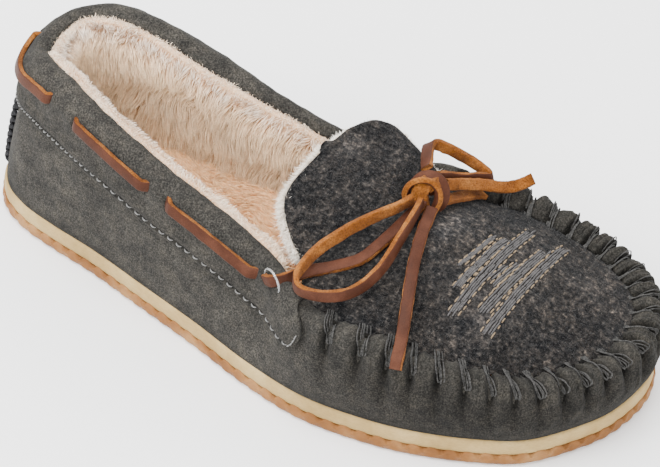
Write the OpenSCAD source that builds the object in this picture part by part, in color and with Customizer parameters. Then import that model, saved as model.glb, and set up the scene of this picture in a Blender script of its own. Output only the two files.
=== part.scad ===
// Right-foot moccasin house slipper: suede wrap, wool plug and tongue, pile lining,
// rubber cup sole, leather thong threaded round the collar and tied in a bow.
// Toe towards -Y, heel towards +Y, lateral side towards -X, sole on Z = 0. Millimetres.

/* [Sole] */
// Thickness of the gum rubber outsole
outsole_h = 5; // [3:0.5:7]
// Thickness of the cream rubber sidewall layer
midsole_h = 7; // [5:0.5:9]
// Thickness of the insole board
board_h = 1.6; // [1:0.2:2.4]
// Thickness of the cushioning foam
foam_h = 5; // [3:0.5:6]
// Thickness of the pile footbed
pile_h = 4.5; // [3:0.5:6]

/* [Upper] */
// Thickness of the suede wrap
suede_t = 1.8; // [1.2:0.1:2.2]
// Thickness of the collar suede
collar_t = 1.5; // [1:0.1:1.8]
// Height of the collar band at its front ends
collar_h = 14; // [10:0.5:16]
// Thickness of the pile lining in the quarters
lining_t = 5.5; // [3:0.5:6.5]
// Thickness of the wool of the plug and the tongue
wool_t = 2.2; // [1.5:0.1:3]
// Thickness of the pile under the plug
plug_pile_t = 4; // [2.5:0.5:5]

/* [Lace] */
// Width of the leather thong
lace_w = 4.4; // [3:0.2:5]
// Thickness of the leather thong
lace_t = 2.2; // [1.4:0.1:2.4]
// Diameter of the sewing thread of the toe seam
thread_d = 1.5; // [0.8:0.1:1.8]
// Number of whip stitches along the toe seam
toe_stitches = 27; // [18:1:32]
// Spacing of the collar stitches
collar_pitch = 3.5; // [2.5:0.25:5]

/* [Hidden] */

z1 = outsole_h;
z2 = z1 + midsole_h;
zb = z2 + board_h + 0.2;
zf = zb + foam_h + 0.2;
gap = 0.3;

// Thirty stations, from the heel down the outer side, round the toe and back
// Footprint of the sole
FOOT = [[9,130],[-4,125],[-12,114],[-17,99],[-22,79],[-30,54],[-38,29],[-47,4],
        [-53,-21],[-53,-46],[-50,-66],[-44,-86],[-36,-103],[-22,-117],[-7,-127],
        [13.5,-132],[32,-127],[42.5,-117],[50,-103],[53,-86],[52,-66],[48,-46],
        [43.5,-21],[40.5,4],[41,29],[43.5,54],[44.5,79],[42.5,99],[37,114],[27,125]];
// Outer shoulder: the collar's outer edge at the rear, the puckered ridge in front
SHO = [[9,121.5,71],[-3,116,74],[-10.5,105,77],[-17,91,76.5],[-22.5,76,73.5],[-28,53,66],
       [-32,28,58],[-37,3,50],[-51,-21,50],[-51,-46,47],[-48,-65.5,44],[-42.5,-85,39.5],
       [-34.5,-101.5,36],[-21,-115,34.5],[-6.5,-125,34],[13.5,-130,34],[31,-125,34],
       [41,-115.5,34.5],[48,-102,36],[51,-85.5,39.5],[50,-66,44],[46,-46,47],
       [43,-21,49.5],[42,4,52],[41.5,29,59.5],[42,54,68.5],[42,79,76],[40.5,98,78],
       [34,112,76],[23,120,73]];
// Inner edge: the collar's lip at the rear, the toe seam in front
EDG = [[10,112,75],[3,108,79],[-3,99,81],[-9,87,80],[-14,74,77],[-18,53,69],
       [-22,29,61],[-27,4,53],[-42.5,-21,50],[-42,-46,46.5],[-39.5,-64,43.5],[-34.5,-81.5,39],
       [-27.5,-96,35.5],[-15.5,-108,34],[-3,-117,33.5],[13.5,-121.5,33.5],[28,-117,33.5],
       [35.5,-108.5,34],[41,-97.5,35.5],[42.5,-83,39],[41.5,-65,43.5],[37.5,-46,46.5],
       [34,-21,50.5],[34,4,53.5],[33,29,61],[31,54,70.5],[32,79,78],[31.5,94,80.5],
       [27,106,80],[19,111.5,77]];
NS = len(FOOT);

// Closed and open Catmull-Rom curves through a table
function md(i) = ((i % NS) + NS) % NS;
function mix4(a,b,c,d,t) = 0.5*((2*b) + (c-a)*t + (2*a-5*b+4*c-d)*t*t + (3*b-a-3*c+d)*t*t*t);
function crc(T,s) = let(i=floor(s), t=s-i) mix4(T[md(i-1)],T[md(i)],T[md(i+1)],T[md(i+2)],t);
function cro(T,u) = let(n=len(T), x=min(max(u,0),1)*(n-1), i=min(floor(x),n-2), t=x-i,
      a=i>0?T[i-1]:2*T[0]-T[1], d=i<n-2?T[i+2]:2*T[n-1]-T[n-2]) mix4(a,T[i],T[i+1],d,t);
function unit(v) = v/max(norm(v),1e-9);
// Inward horizontal direction at station s
function inw(s) = let(d=crc(FOOT,s+0.25)-crc(FOOT,s-0.25), u=unit(d)) [-u[1], u[0], 0];
function foot(s,d,z) = let(p=crc(FOOT,s)) [p[0],p[1],z] + inw(s)*d;
function step01(a,b,x) = let(t=min(max((x-a)/(b-a),0),1)) t*t*(3-2*t);
// 1 where the collar runs, 0 round the toe
function pos(s) = md(floor(s)) + s - floor(s);
function rear(s) = let(q=pos(s)) q < 15 ? 1-step01(7.1,7.7,q) : step01(21.35,21.9,q);
// 1 where the puckered band is turned over towards the toe seam
function turned(s) = let(q=pos(s)) q < 15 ? step01(7.7,8.05,q) : 1-step01(20.95,21.3,q);
// Fraction of the wall's height that lies at height z
function vz(s,z) = (z-z2-0.2)/(crc(SHO,s)[2]-z2-0.2);
// Outside of the suede wrap, v = 0 at the sole and 1 at the shoulder, moved in by d
function wall(s,v,d=0) = let(
      b = foot(s,1.6,z2+0.2), e = crc(SHO,s) + inw(s)*4*rear(s),
      c = (b+e)/2 - inw(s)*(3.4 + 2.2*(1-rear(s))))
      (1-v)*(1-v)*b + 2*v*(1-v)*c + v*v*e + inw(s)*d;
// The rolled band between the shoulder and the seam
function roof(s,w,d=0) = let(
      a = wall(s,0.86+0.14*turned(s)), e = crc(EDG,s), c = a*0.7+e*0.3 + [0,0,4.2])
      (1-w)*(1-w)*a + 2*w*(1-w)*c + w*w*e + inw(s)*d*(1-w) - [0,0,d*w];

// Skin over a list of equal sections; strip sections are an outer and an inner path
module skin(S, closed=false, strip=false) {
  m = len(S); n = len(S[0]);
  pts = [for (s=S) for (p=s) p];
  q = [for (i=[0:1:m-(closed?1:2)]) for (j=[0:1:n-1])
        let(i2=(i+1)%m, j2=(j+1)%n, a=i*n+j, b=i*n+j2, c=i2*n+j2, d=i2*n+j) each [[a,c,b],[a,d,c]]];
  h = n/2;
  cap = strip
      ? [for (j=[0:1:h-2]) each [[j,j+1,n-2-j],[j,n-2-j,n-1-j]]]
      : [for (j=[1:1:n-2]) [0,j,j+1]];
  e1 = closed ? [] : [for (f=cap) f];
  e2 = closed ? [] : [for (f=cap) [f[0]+(m-1)*n, f[2]+(m-1)*n, f[1]+(m-1)*n]];
  F = concat(q,e1,e2);
  six = [for (f=F) pts[f[0]]*cross(pts[f[1]],pts[f[2]])]*[for (f=F) 1];
  polyhedron(pts, six < 0 ? F : [for (f=F) [f[0],f[2],f[1]]], convexity=8);
}
function rev(A) = [for (i=[len(A)-1:-1:0]) A[i]];

// Rounded flat ribbon swept along P, its width lying near the direction W(i)
function sect(c, t, wd, w, h) = let(u=unit(t), b=unit(wd-u*(wd*u)), n2=cross(u,b))
      [for (k=[[-.5,-.25],[-.36,-.5],[.36,-.5],[.5,-.25],[.5,.25],[.36,.5],[-.36,.5],[-.5,.25]])
        c + b*k[0]*w + n2*k[1]*h];
module ribbon(P, W, w=lace_w, h=lace_t) {
  n = len(P);
  skin([for (i=[0:1:n-1]) let(a=P[max(i-1,0)], b=P[min(i+1,n-1)]) sect(P[i], b-a, W[i], w, h)]);
}
function samp(T,n) = [for (i=[0:1:n]) cro(T,i/n)];

// ---- sole ----
module plate(d, za, zb_) {
  translate([0,0,za]) linear_extrude(zb_-za)
    polygon([for (i=[0:1:119]) let(p=foot(i*NS/120,d,0)) [p[0],p[1]]]);
}
module outsole() color([0.76,0.45,0.22]) plate(0.4, 0, z1-0.1);
module midsole() color([0.85,0.75,0.53]) plate(1.0, z1, z2);
module insole_board() color([0.45,0.38,0.30]) plate(5.2, z2+0.2, z2+0.2+board_h-0.1);
module footbed_foam() color([0.9,0.88,0.8]) plate(5.2, zb, zb+foam_h);
module footbed_pile() color([0.83,0.68,0.50]) plate(5.5+lining_t+1.2, zf, zf+pile_h);

// ---- upper ----
module upper_wall() color([0.31,0.32,0.31])
  skin([for (i=[0:1:89]) let(s=i/3, r=1-turned(s), vt=1-0.14*r, wt=max(1-r,0.02))
     let(o=concat([for (k=[0:1:5]) wall(s,vt*k/5)], [for (k=[1:1:3]) roof(s,wt*k/3)]),
         n=concat([for (k=[0:1:5]) wall(s,vt*k/5,suede_t)], [for (k=[1:1:3]) roof(s,wt*k/3,suede_t)]))
     concat(o,rev(n))], closed=true);

module heel_counter() color([0.5,0.42,0.32])
  skin([for (i=[0:1:18]) let(s=27+i/3, e=step01(0,5,min(i,18-i)), vt=0.35+0.33*e)
     concat([for (k=[0:1:4]) wall(s,0.13+(vt-0.13)*k/4,suede_t+0.25)],
        rev([for (k=[0:1:4]) wall(s,0.13+(vt-0.13)*k/4,suede_t+1.35)]))], strip=true);

// Path of the outer face of the quarter lining
function lin(s,v,d=0) = let(
      a=foot(s,1.6+suede_t+2.1,zf), e=crc(EDG,s)+inw(s)*0.4-[0,0,0.6],
      m=wall(s,0.5,suede_t+2.1), c=2*m-(a+e)/2)
      (1-v)*(1-v)*a + 2*v*(1-v)*c + v*v*e + inw(s)*d;
module quarter_lining() color([0.87,0.77,0.62])
  skin([for (i=[0:1:45]) let(s=22.1+i/3)
     concat([for (k=[0:1:6]) lin(s,k/6)], rev([for (k=[0:1:6]) lin(s,k/6,lining_t*(k==6?0.45:1))]))], strip=true);

// The toe and vamp lining stops below the plug
module vamp_lining() color([0.87,0.77,0.62])
  skin([for (i=[0:1:39]) let(s=8.2+i/3, e=crc(SHO,s)[2], v0=vz(s,zf+0.2), vt=vz(s,e-9))
     concat([for (k=[0:1:5]) wall(s,v0+(vt-v0)*k/5,suede_t+0.4)],
        rev([for (k=[0:1:5]) wall(s,v0+(vt-v0)*k/5,suede_t+4.4)]))], strip=true);

// Lower edge of the collar as a fraction of the wall's height: deepest at the quarters
DRP = [3.5,5.5,7.5,8,5.5,1.5,-1];
function drop(s) = let(q=pos(s), t=q<15 ? q/7.7 : (30-q)/8.65) collar_h + cro(DRP,t);
function vlow(s) = vz(s,crc(SHO,s)[2]-drop(s));
function colr(s,d=0) = let(v=vlow(s), n=inw(s), x=(1-rear(s))*(collar_t+0.5), o=crc(SHO,s)-n*x+[0,0,x*0.6], e=crc(EDG,s)+[0,0,x*0.5],
      c=(o+e)/2+[0,0,6.5], p0=wall(s,v)-n*(collar_t+0.3), m=wall(s,(v+1)/2)-n*(collar_t+0.3), p1=m*0.6+(p0+o)*0.2-n*0.9)
      concat([p0+n*d, p0*0.5+p1*0.5-n*0.5+n*d, p1+n*d, p1*0.4+o*0.6-n*0.5+n*d, o+n*d],
        [for (w=[0.25,0.5,0.75]) (1-w)*(1-w)*o+2*w*(1-w)*c+w*w*e + n*d*(1-2*w) - [0,0,d*(1-abs(2*w-1)*0.5)]],
        [e-n*d-[0,0,0.2], lin(s,0.95,-0.35-d)]);
module collar() color([0.34,0.35,0.34])
  skin([for (i=[0:1:49]) let(s=21.35+i/3) concat(colr(s), rev(colr(s,collar_t)))], strip=true);

// Soft filler under the roll of the collar
module collar_foam() color([0.8,0.8,0.75])
  skin([for (i=[0:1:44]) let(s=22.3+i/3, o=crc(SHO,s), e=crc(EDG,s), n=inw(s), c=o*0.38+e*0.62)
     [for (k=[0:45:315]) c + [0,0,-2.6] + n*1.3*cos(k) + [0,0,1]*1.9*sin(k)]]);

module stitch(p, t, up, l, w, h) {
  u=unit(t); b=unit(cross(up,u)); n2=cross(u,b);
  skin([[for (k=[[-1,-1],[1,-1],[1,1],[-1,1]]) p-u*l/2+b*k[0]*w*0.3+n2*k[1]*h*0.3],
        [for (k=[[-1,-1],[1,-1],[1,1],[-1,1]]) p+b*k[0]*w/2+n2*k[1]*h/2],
        [for (k=[[-1,-1],[1,-1],[1,1],[-1,1]]) p+u*l/2+b*k[0]*w*0.3+n2*k[1]*h*0.3]]);
}
module collar_stitching() color([0.62,0.62,0.60])
  for (i=[0:1:107]) let(s=21.45+i*16.1/107, f=function(x) let(q=colr(x)) q[0]*0.66+q[1]*0.34-inw(x)*0.6)
    stitch(f(s), f(s+0.05)-f(s-0.05), -inw(s), 2.3, 0.8, 0.7);

module heel_seam_thread() color([0.16,0.16,0.17])
  for (i=[0:1:8]) let(v=0.05+i*0.074, p=wall(0.08,v,-0.75), t=wall(0.08,v+0.05)-wall(0.08,v))
    stitch(p, unit(t)+[0.55,0,0], -inw(0), 6, 1.5, 1.3);

// ---- plug and tongue ----
// Rows of the plug: station on the near seam, station on the far seam, crown height
PLG = [[7.55,21.35,9.5],[8,20.95,11],[8.6,20.6,12],[9.3,20.2,12],[10,19.8,11],[11,19,9.5],[12,18,7.5],[13,17,5],[14,16,2.4],[14.85,15.15,0.3]];
function pls(u) = let(r=cro(PLG,u), k=r[0], f=r[1], w=1-step01(0,0.16,u),
      a=crc(EDG,k)+inw(k)*(0.9+3.2*w), b=crc(EDG,f)+inw(f)*(0.9+1.2*w)) [a,b,r[2]];
function plz(u,q) = let(r=pls(u), h=r[2]) r[0]*(1-q)+r[1]*q + [0,0,h*(1-pow(abs(2*q-1),2.3))+0.4];
module plug() color([0.20,0.21,0.22])
  skin([for (i=[0:1:24]) concat([for (k=[0:1:12]) plz(i/24,k/12)], rev([for (k=[0:1:12]) plz(i/24,k/12)-[0,0,wool_t]]))], strip=true);
module plug_lining() color([0.87,0.77,0.62])
  skin([for (i=[0:1:20]) let(u=0.005+i*0.89/20, r=pls(u), e=min(4.2/norm(r[1]-r[0]),0.4))
     concat([for (k=[0:1:10]) plz(u,e+(1-2*e)*k/10)-[0,0,wool_t+gap]],
        rev([for (k=[0:1:10]) plz(u,e+(1-2*e)*k/10)-[0,0,wool_t+gap+plug_pile_t]]))], strip=true);

// Two blocks of stepped diagonal stripes, each row shifted by one step
module bar(u0,q0,u1,q1,w) {
  n=5;
  P=[for (i=[0:1:n]) plz(u0+(u1-u0)*i/n, q0+(q1-q0)*i/n)+[0,0,0.75]];
  skin([for (i=[0:1:n]) let(t=P[min(i+1,n)]-P[max(i-1,0)]) sect(P[i], t, cross([0,0,1],t), w, 0.6)]);
}
STR = [[0.36,0.20],[0.395,0.26],[0.43,0.32],[0.465,0.38]];
module plug_stripes() color([0.47,0.46,0.44])
  for (g=[0,1]) for (r=STR) bar(r[0]+0.105*g, r[1]+0.12*g, r[0]+0.04+0.105*g, r[1]+0.40+0.12*g, 2.6);

// Rows of the tongue: near edge, far edge and crown
TGN = [[-26,-9.5,52.6],[-21,-1.5,56.6],[-12,6,62],[-4,7.2,65],[8,4.5,68],[17,1.8,69.4]];
TGF = [[35.2,-39.4,52.6],[39,-26,59],[41,-16.5,64],[39.8,-10.5,66.6],[35,-5.5,68.8],[27,-1,69.6]];
TGH = [8,7,3.8,2,0.8,0.1];
function tg(u,q) = let(a=cro(TGN,u), b=cro(TGF,u), h=cro(TGH,u)) a*(1-q)+b*q+[0,0,h*(1-pow(abs(2*q-1),2.2))];
module tongue() color([0.20,0.21,0.22])
  skin([for (i=[0:1:12]) concat([for (k=[0:1:10]) tg(i/12,k/10)], rev([for (k=[0:1:10]) tg(i/12,k/10)-[0,0,wool_t]]))], strip=true);
module tongue_lining() color([0.93,0.89,0.80])
  skin([for (i=[0:1:10]) let(u=0.045+0.9*i/10)
     concat([for (k=[0:1:8]) tg(u,0.04+0.92*k/8)-[0,0,wool_t+0.25]],
        rev([for (k=[0:1:8]) tg(u,0.04+0.92*k/8)-[0,0,wool_t+0.25+plug_pile_t*0.8]]))], strip=true);

// Whip stitches over the ridge into the holes outside it
module moc_seam_thread() color([0.42,0.42,0.41])
  for (i=[0:1:toe_stitches-1]) let(s=8.35+12.5*i/(toe_stitches-1),
      A=concat([wall(s+0.06,0.80,-1.1)], [for (w=[0.05,0.35,0.65,0.92]) roof(s+0.04-w*0.1,w,-1.25)], [crc(EDG,s-0.08)+inw(s)*1.6+[0,0,2.3]]))
    skin([for (j=[0:1:5]) let(t=A[min(j+1,5)]-A[max(j-1,0)], u=unit(t), b=unit(cross([0.01,0,1],u)), n2=cross(u,b))
       [for (k=[0:60:300]) A[j]+(b*cos(k)+n2*sin(k))*thread_d/2]]);

// ---- lace ----
// Where the thong shows outside the collar: pairs of stations
VIS = [[22.25,23.45],[23.95,25.35],[25.8,27.4],[29.35,32.35],[33.35,34.95],[35.4,36.85]];
function shown(s) = max([for (r=VIS) step01(r[0]-0.14,r[0]+0.06,s)*(1-step01(r[1]-0.06,r[1]+0.14,s))]);
function lcr(s) = let(q=colr(s), p=q[4]*0.62+q[3]*0.38, k=shown(s)) p + inw(s)*(-1.3*k + 2.7*(1-k));
module lace_collar_run() color([0.44,0.27,0.18])
  let(S=[for (i=[0:1:99]) 21.6+i*15.7/99])
  ribbon([for (s=S) lcr(s)], [for (s=S) let(q=colr(s)) q[4]-q[3]], lace_w, lace_t-0.3);

KNOT = [15.8,-37.3,64.8];
// Each route is a list of points with the direction of the thong's width beside it
LFN = [[-40.8,-2,53.6],[-38.8,-7,56],[-32.2,-13,56.6],[-27.6,-20.8,57.9],[-22,-28.6,60],[-13.6,-32.4,61.4],[-3,-35.2,62],[8.4,-37.6,62.3]];
LFNW = [[0.2,0.5,0.8],[0,0.5,0.7],[0.3,0.8,0.4],[0.5,0.8,0.1],[0.4,0.8,0],[0.2,0.9,0],[0,1,0],[0,1,0]];
LFF = [[17.8,-44.4,61],[22.3,-46,58.8],[28.4,-48,55.2],[34.6,-50.2,52]];
LFFW = [[0.4,0.9,0],[0.3,0.9,0.1],[0.2,0.9,0.2],[0.2,0.9,0.2]];
module lace_front_near() color([0.62,0.37,0.18]) ribbon(samp(LFN,16), samp(LFNW,16));
module lace_front_far() color([0.44,0.27,0.18]) ribbon(samp(LFF,8), samp(LFFW,8));
module lace_knot() color([0.58,0.34,0.17])
  translate(KNOT) rotate([8,6,-30]) rotate_extrude($fn=40)
    polygon([[0,-4.3],[3.4,-4.3],[5.2,-3.4],[6,-1.4],[6,1.2],[5.4,3.2],[3.8,4.2],[0,4.6]]);

// Free stretches of the bow
NLP = [[7.6,-35.8,67],[2,-32.6,66.4],[-4,-28,66],[-14,-21,64.6],[-26,-14.5,62.4],[-36,-12,60.8],[-42,-12.5,60.2],[-45.5,-16.5,59.8],
       [-43,-26,59.2],[-36.5,-33.5,59.8],[-25,-38,61.8],[-10,-39.3,65.2],[2,-39.6,67],[7.4,-39.2,67.6]];
NLW = [[0,0,1],[0,0.1,1],[0.1,0.2,1],[0.2,0.3,1],[0.2,0.3,1],[0.1,0.2,1],[0,0,1],[0,0,1],
       [0.2,0.1,1],[0.1,0.3,1],[0,0.4,1],[0,0.3,1],[0,0.1,1],[0,0,1]];
FLP = [[23,-34.6,68.4],[29,-32.2,68],[35.5,-30.2,66.8],[39.2,-32.6,65],[41.3,-40.6,61.6],[42.4,-48.4,57.6],[41.2,-53,55.4],
       [37,-49.4,57.6],[32.5,-46.6,59.8],[27.5,-42,63],[23.2,-38.8,65.6]];
FLW = [[0.1,-0.7,0.7],[0.1,-0.9,0.4],[0.2,-0.8,0.5],[0.3,-0.3,0.9],[0,0.3,1],[0,0.4,1],[0.2,0.4,1],
       [0,0.3,1],[0,0.3,1],[0,0.3,1],[0,0.2,1]];
NTL = [[8.8,-43.2,64.3],[-3,-44.6,63.8],[-16,-47.2,61.8],[-27,-50.2,57.8],[-37.4,-53.2,52.8],[-45.5,-55.4,50.2],[-50.5,-56.6,49],[-53.5,-57.3,46.4]];
NTW = [[0.1,1,0.1],[0.2,1,0.1],[0.2,1,0.2],[0.2,1,0.2],[0.2,1,0.2],[0.2,1,0.1],[0.2,1,0],[0.2,1,0]];
FTL = [[21.6,-42.8,64.8],[26,-46,62.6],[34.6,-52.2,57.4],[41,-59,53.4],[45.3,-63.3,53],[48.6,-67.2,54.8]];
FTW = [[0.2,0.3,1],[0.3,0.3,0.9],[0.5,0.4,0.7],[0.6,0.5,0.6],[0.6,0.5,0.6],[0.6,0.5,0.6]];
module bow_loop_near() color([0.50,0.30,0.18]) ribbon(samp(NLP,34), samp(NLW,34));
module bow_loop_far() color([0.52,0.31,0.18]) ribbon(samp(FLP,26), samp(FLW,26));
module lace_tail_near() color([0.42,0.26,0.18]) ribbon(samp(NTL,18), samp(NTW,18));
module lace_tail_far() color([0.62,0.37,0.18]) ribbon(samp(FTL,16), samp(FTW,16));

// Clear plastic ring threaded round the thong at the near hole
module filament_ring() color([0.9,0.92,0.92])
  translate([-40,-2.6,52.6]) rotate([0,90,-35]) rotate_extrude($fn=48) translate([5,0]) circle(d=0.7,$fn=16);

outsole();
midsole();
insole_board();
footbed_foam();
footbed_pile();
upper_wall();
heel_counter();
quarter_lining();
vamp_lining();
collar();
collar_foam();
collar_stitching();
heel_seam_thread();
plug();
plug_lining();
plug_stripes();
moc_seam_thread();
tongue();
tongue_lining();
lace_collar_run();
lace_front_near();
lace_front_far();
lace_knot();
bow_loop_near();
bow_loop_far();
lace_tail_near();
lace_tail_far();
filament_ring();
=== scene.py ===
import bpy, math
import numpy as np
from mathutils import Matrix, Vector, kdtree


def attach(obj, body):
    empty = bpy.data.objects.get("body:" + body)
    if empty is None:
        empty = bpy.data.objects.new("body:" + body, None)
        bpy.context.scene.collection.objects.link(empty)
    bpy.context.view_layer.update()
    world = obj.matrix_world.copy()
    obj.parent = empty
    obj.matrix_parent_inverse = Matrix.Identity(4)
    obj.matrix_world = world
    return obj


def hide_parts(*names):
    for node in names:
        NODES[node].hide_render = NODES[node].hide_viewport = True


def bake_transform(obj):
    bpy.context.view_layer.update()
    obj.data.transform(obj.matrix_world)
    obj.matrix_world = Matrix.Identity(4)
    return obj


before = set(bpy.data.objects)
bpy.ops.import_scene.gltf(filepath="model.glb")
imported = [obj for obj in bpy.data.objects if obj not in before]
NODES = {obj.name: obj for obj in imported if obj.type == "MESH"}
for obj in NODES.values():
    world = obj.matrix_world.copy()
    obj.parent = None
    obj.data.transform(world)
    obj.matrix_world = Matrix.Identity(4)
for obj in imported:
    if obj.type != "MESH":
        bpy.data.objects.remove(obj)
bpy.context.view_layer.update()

# ---------------------------------------------------------------- camera
def make_camera():
    az, el, ro, D = math.radians(-68), math.radians(46), math.radians(3.5), 1.5
    T = np.array([0.016, -0.0012, 0.025])
    back = np.array([math.sin(az) * math.cos(el), -math.cos(az) * math.cos(el), math.sin(el)])
    right = np.array([math.cos(az), math.sin(az), 0.0])
    up = np.cross(back, right)
    c, s = math.cos(ro), math.sin(ro)
    R, U = right * c + up * s, -right * s + up * c
    cam = bpy.data.objects.new("camera", bpy.data.cameras.new("camera"))
    bpy.context.scene.collection.objects.link(cam)
    L = T + back * D
    cam.matrix_world = Matrix([[R[0], U[0], back[0], L[0]], [R[1], U[1], back[1], L[1]], [R[2], U[2], back[2], L[2]], [0, 0, 0, 1]])
    cam.data.lens = 220.1
    cam.data.sensor_width = 36
    cam.data.sensor_fit = "HORIZONTAL"
    cam.data.clip_end = 20
    bpy.context.scene.camera = cam
make_camera()

# ---------------------------------------------------------------- shape functions, the same curves as the CAD
FOOT = np.array([[9,130],[-4,125],[-12,114],[-17,99],[-22,79],[-30,54],[-38,29],[-47,4],[-53,-21],[-53,-46],[-50,-66],[-44,-86],[-36,-103],[-22,-117],[-7,-127],[13.5,-132],[32,-127],[42.5,-117],[50,-103],[53,-86],[52,-66],[48,-46],[43.5,-21],[40.5,4],[41,29],[43.5,54],[44.5,79],[42.5,99],[37,114],[27,125]], float)
SHO = np.array([[9,121.5,71],[-3,116,74],[-10.5,105,77],[-17,91,76.5],[-22.5,76,73.5],[-28,53,66],[-32,28,58],[-37,3,50],[-51,-21,50],[-51,-46,47],[-48,-65.5,44],[-42.5,-85,39.5],[-34.5,-101.5,36],[-21,-115,34.5],[-6.5,-125,34],[13.5,-130,34],[31,-125,34],[41,-115.5,34.5],[48,-102,36],[51,-85.5,39.5],[50,-66,44],[46,-46,47],[43,-21,49.5],[42,4,52],[41.5,29,59.5],[42,54,68.5],[42,79,76],[40.5,98,78],[34,112,76],[23,120,73]], float)
EDG = np.array([[10,112,75],[3,108,79],[-3,99,81],[-9,87,80],[-14,74,77],[-18,53,69],[-22,29,61],[-27,4,53],[-42.5,-21,50],[-42,-46,46.5],[-39.5,-64,43.5],[-34.5,-81.5,39],[-27.5,-96,35.5],[-15.5,-108,34],[-3,-117,33.5],[13.5,-121.5,33.5],[28,-117,33.5],[35.5,-108.5,34],[41,-97.5,35.5],[42.5,-83,39],[41.5,-65,43.5],[37.5,-46,46.5],[34,-21,50.5],[34,4,53.5],[33,29,61],[31,54,70.5],[32,79,78],[31.5,94,80.5],[27,106,80],[19,111.5,77]], float)
NS = 30
Z1, Z2 = 5.0, 12.0
ZB = Z2 + 1.8
ZF = ZB + 5.2
SUEDE, CT, LIN, WOOL = 1.8, 1.5, 5.5, 2.2
UP = np.array([0, 0, 1.0])

def cr4(a, b, c, d, t):
    return 0.5 * ((2 * b) + (c - a) * t + (2 * a - 5 * b + 4 * c - d) * t * t + (3 * b - a - 3 * c + d) * t ** 3)
def crc(T, s):
    s = np.asarray(s, float); i = np.floor(s).astype(int); t = (s - i)[..., None]
    return cr4(T[(i - 1) % NS], T[i % NS], T[(i + 1) % NS], T[(i + 2) % NS], t)
def cro(T, u):
    T = np.asarray(T, float); one = T.ndim == 1
    if one: T = T[:, None]
    n = len(T); x = np.clip(np.asarray(u, float), 0, 1) * (n - 1); i = np.minimum(np.floor(x).astype(int), n - 2); t = (x - i)[..., None]
    E = np.vstack([2 * T[0] - T[1], T, 2 * T[-1] - T[-2]])
    r = cr4(E[i], E[i + 1], E[i + 2], E[i + 3], t)
    return r[..., 0] if one else r
def unit(v):
    return v / np.maximum(np.linalg.norm(v, axis=-1, keepdims=True), 1e-9)
def ss(a, b, x):
    t = np.clip((np.asarray(x, float) - a) / (b - a), 0, 1)
    return t * t * (3 - 2 * t)
def inw(s):
    d = unit(crc(FOOT, np.asarray(s) + .25) - crc(FOOT, np.asarray(s) - .25))
    return np.stack([-d[..., 1], d[..., 0], 0 * d[..., 0]], -1)
def foot(s, d, z):
    p = crc(FOOT, s); z = np.broadcast_to(np.asarray(z, float), p.shape[:-1])
    return np.concatenate([p, z[..., None]], -1) + inw(s) * np.asarray(d, float)[..., None]
def rear(s):
    q = np.mod(s, 30.0)
    return np.where(q < 15, 1 - ss(7.1, 7.7, q), ss(21.35, 21.9, q))
def turned(s):
    q = np.mod(s, 30.0)
    return np.where(q < 15, ss(7.3, 7.72, q), 1 - ss(21.25, 21.7, q))
def wall(s, v, d=0.0):
    s, v, d = np.broadcast_arrays(np.asarray(s, float), np.asarray(v, float), np.asarray(d, float))
    n = inw(s); v1 = v[..., None]; r = rear(s)[..., None]
    b = foot(s, np.full(s.shape, 1.6), Z2 + .2); e = crc(SHO, s) + n * 4 * r
    c = (b + e) / 2 - n * (3.4 + 2.2 * (1 - r))
    return (1 - v1) ** 2 * b + 2 * v1 * (1 - v1) * c + v1 ** 2 * e + n * d[..., None]
def roof(s, w, d=0.0):
    s, w, d = np.broadcast_arrays(np.asarray(s, float), np.asarray(w, float), np.asarray(d, float))
    a = wall(s, .86 + .14 * turned(s)); e = crc(EDG, s); c = a * .7 + e * .3 + UP * 4.2; w1 = w[..., None]; d1 = d[..., None]
    return (1 - w1) ** 2 * a + 2 * w1 * (1 - w1) * c + w1 ** 2 * e + inw(s) * d1 * (1 - w1) - UP * d1 * w1
def lin(s, v, d=0.0):
    s, v, d = np.broadcast_arrays(np.asarray(s, float), np.asarray(v, float), np.asarray(d, float))
    n = inw(s); v1 = v[..., None]
    a = foot(s, np.full(s.shape, 1.6 + SUEDE + 2.1), ZF); e = crc(EDG, s) + n * .4 - UP * .6
    m = wall(s, .5, SUEDE + 2.1); c = 2 * m - (a + e) / 2
    return (1 - v1) ** 2 * a + 2 * v1 * (1 - v1) * c + v1 ** 2 * e + n * d[..., None]
def vz(s, z):
    return (z - Z2 - .2) / (crc(SHO, s)[..., 2] - Z2 - .2)
DRP = [3.5, 5.5, 7.5, 8, 5.5, 1.5, -1]
def drop(s):
    q = np.mod(s, 30.0)
    return 14 + cro(DRP, np.where(q < 15, q / 7.7, (30 - q) / 8.65))
def colr(s, d=0.0):
    """The collar's profile from its stitched lower edge over the roll to the lip: ten points."""
    s = np.asarray(s, float); n = inw(s); v = vz(s, crc(SHO, s)[..., 2] - drop(s))
    x = ((1 - rear(s)) * (CT + .5))[..., None]
    o = crc(SHO, s) - n * x + UP * x * .6; e = crc(EDG, s) + UP * x * .5; c = (o + e) / 2 + UP * 6.5
    p0 = wall(s, v) - n * (CT + .3); m = wall(s, (v + 1) / 2) - n * (CT + .3); p1 = m * .6 + (p0 + o) * .2 - n * .9
    L = [p0 + n * d, p0 * .5 + p1 * .5 - n * .5 + n * d, p1 + n * d, p1 * .4 + o * .6 - n * .5 + n * d, o + n * d]
    for w in (.25, .5, .75):
        L.append((1 - w) ** 2 * o + 2 * w * (1 - w) * c + w * w * e + n * d * (1 - 2 * w) - UP * d * (1 - abs(2 * w - 1) * .5))
    L += [e - n * d - UP * .2, lin(s, .95, -.35 - d)]
    return np.stack(L, -2)

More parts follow.
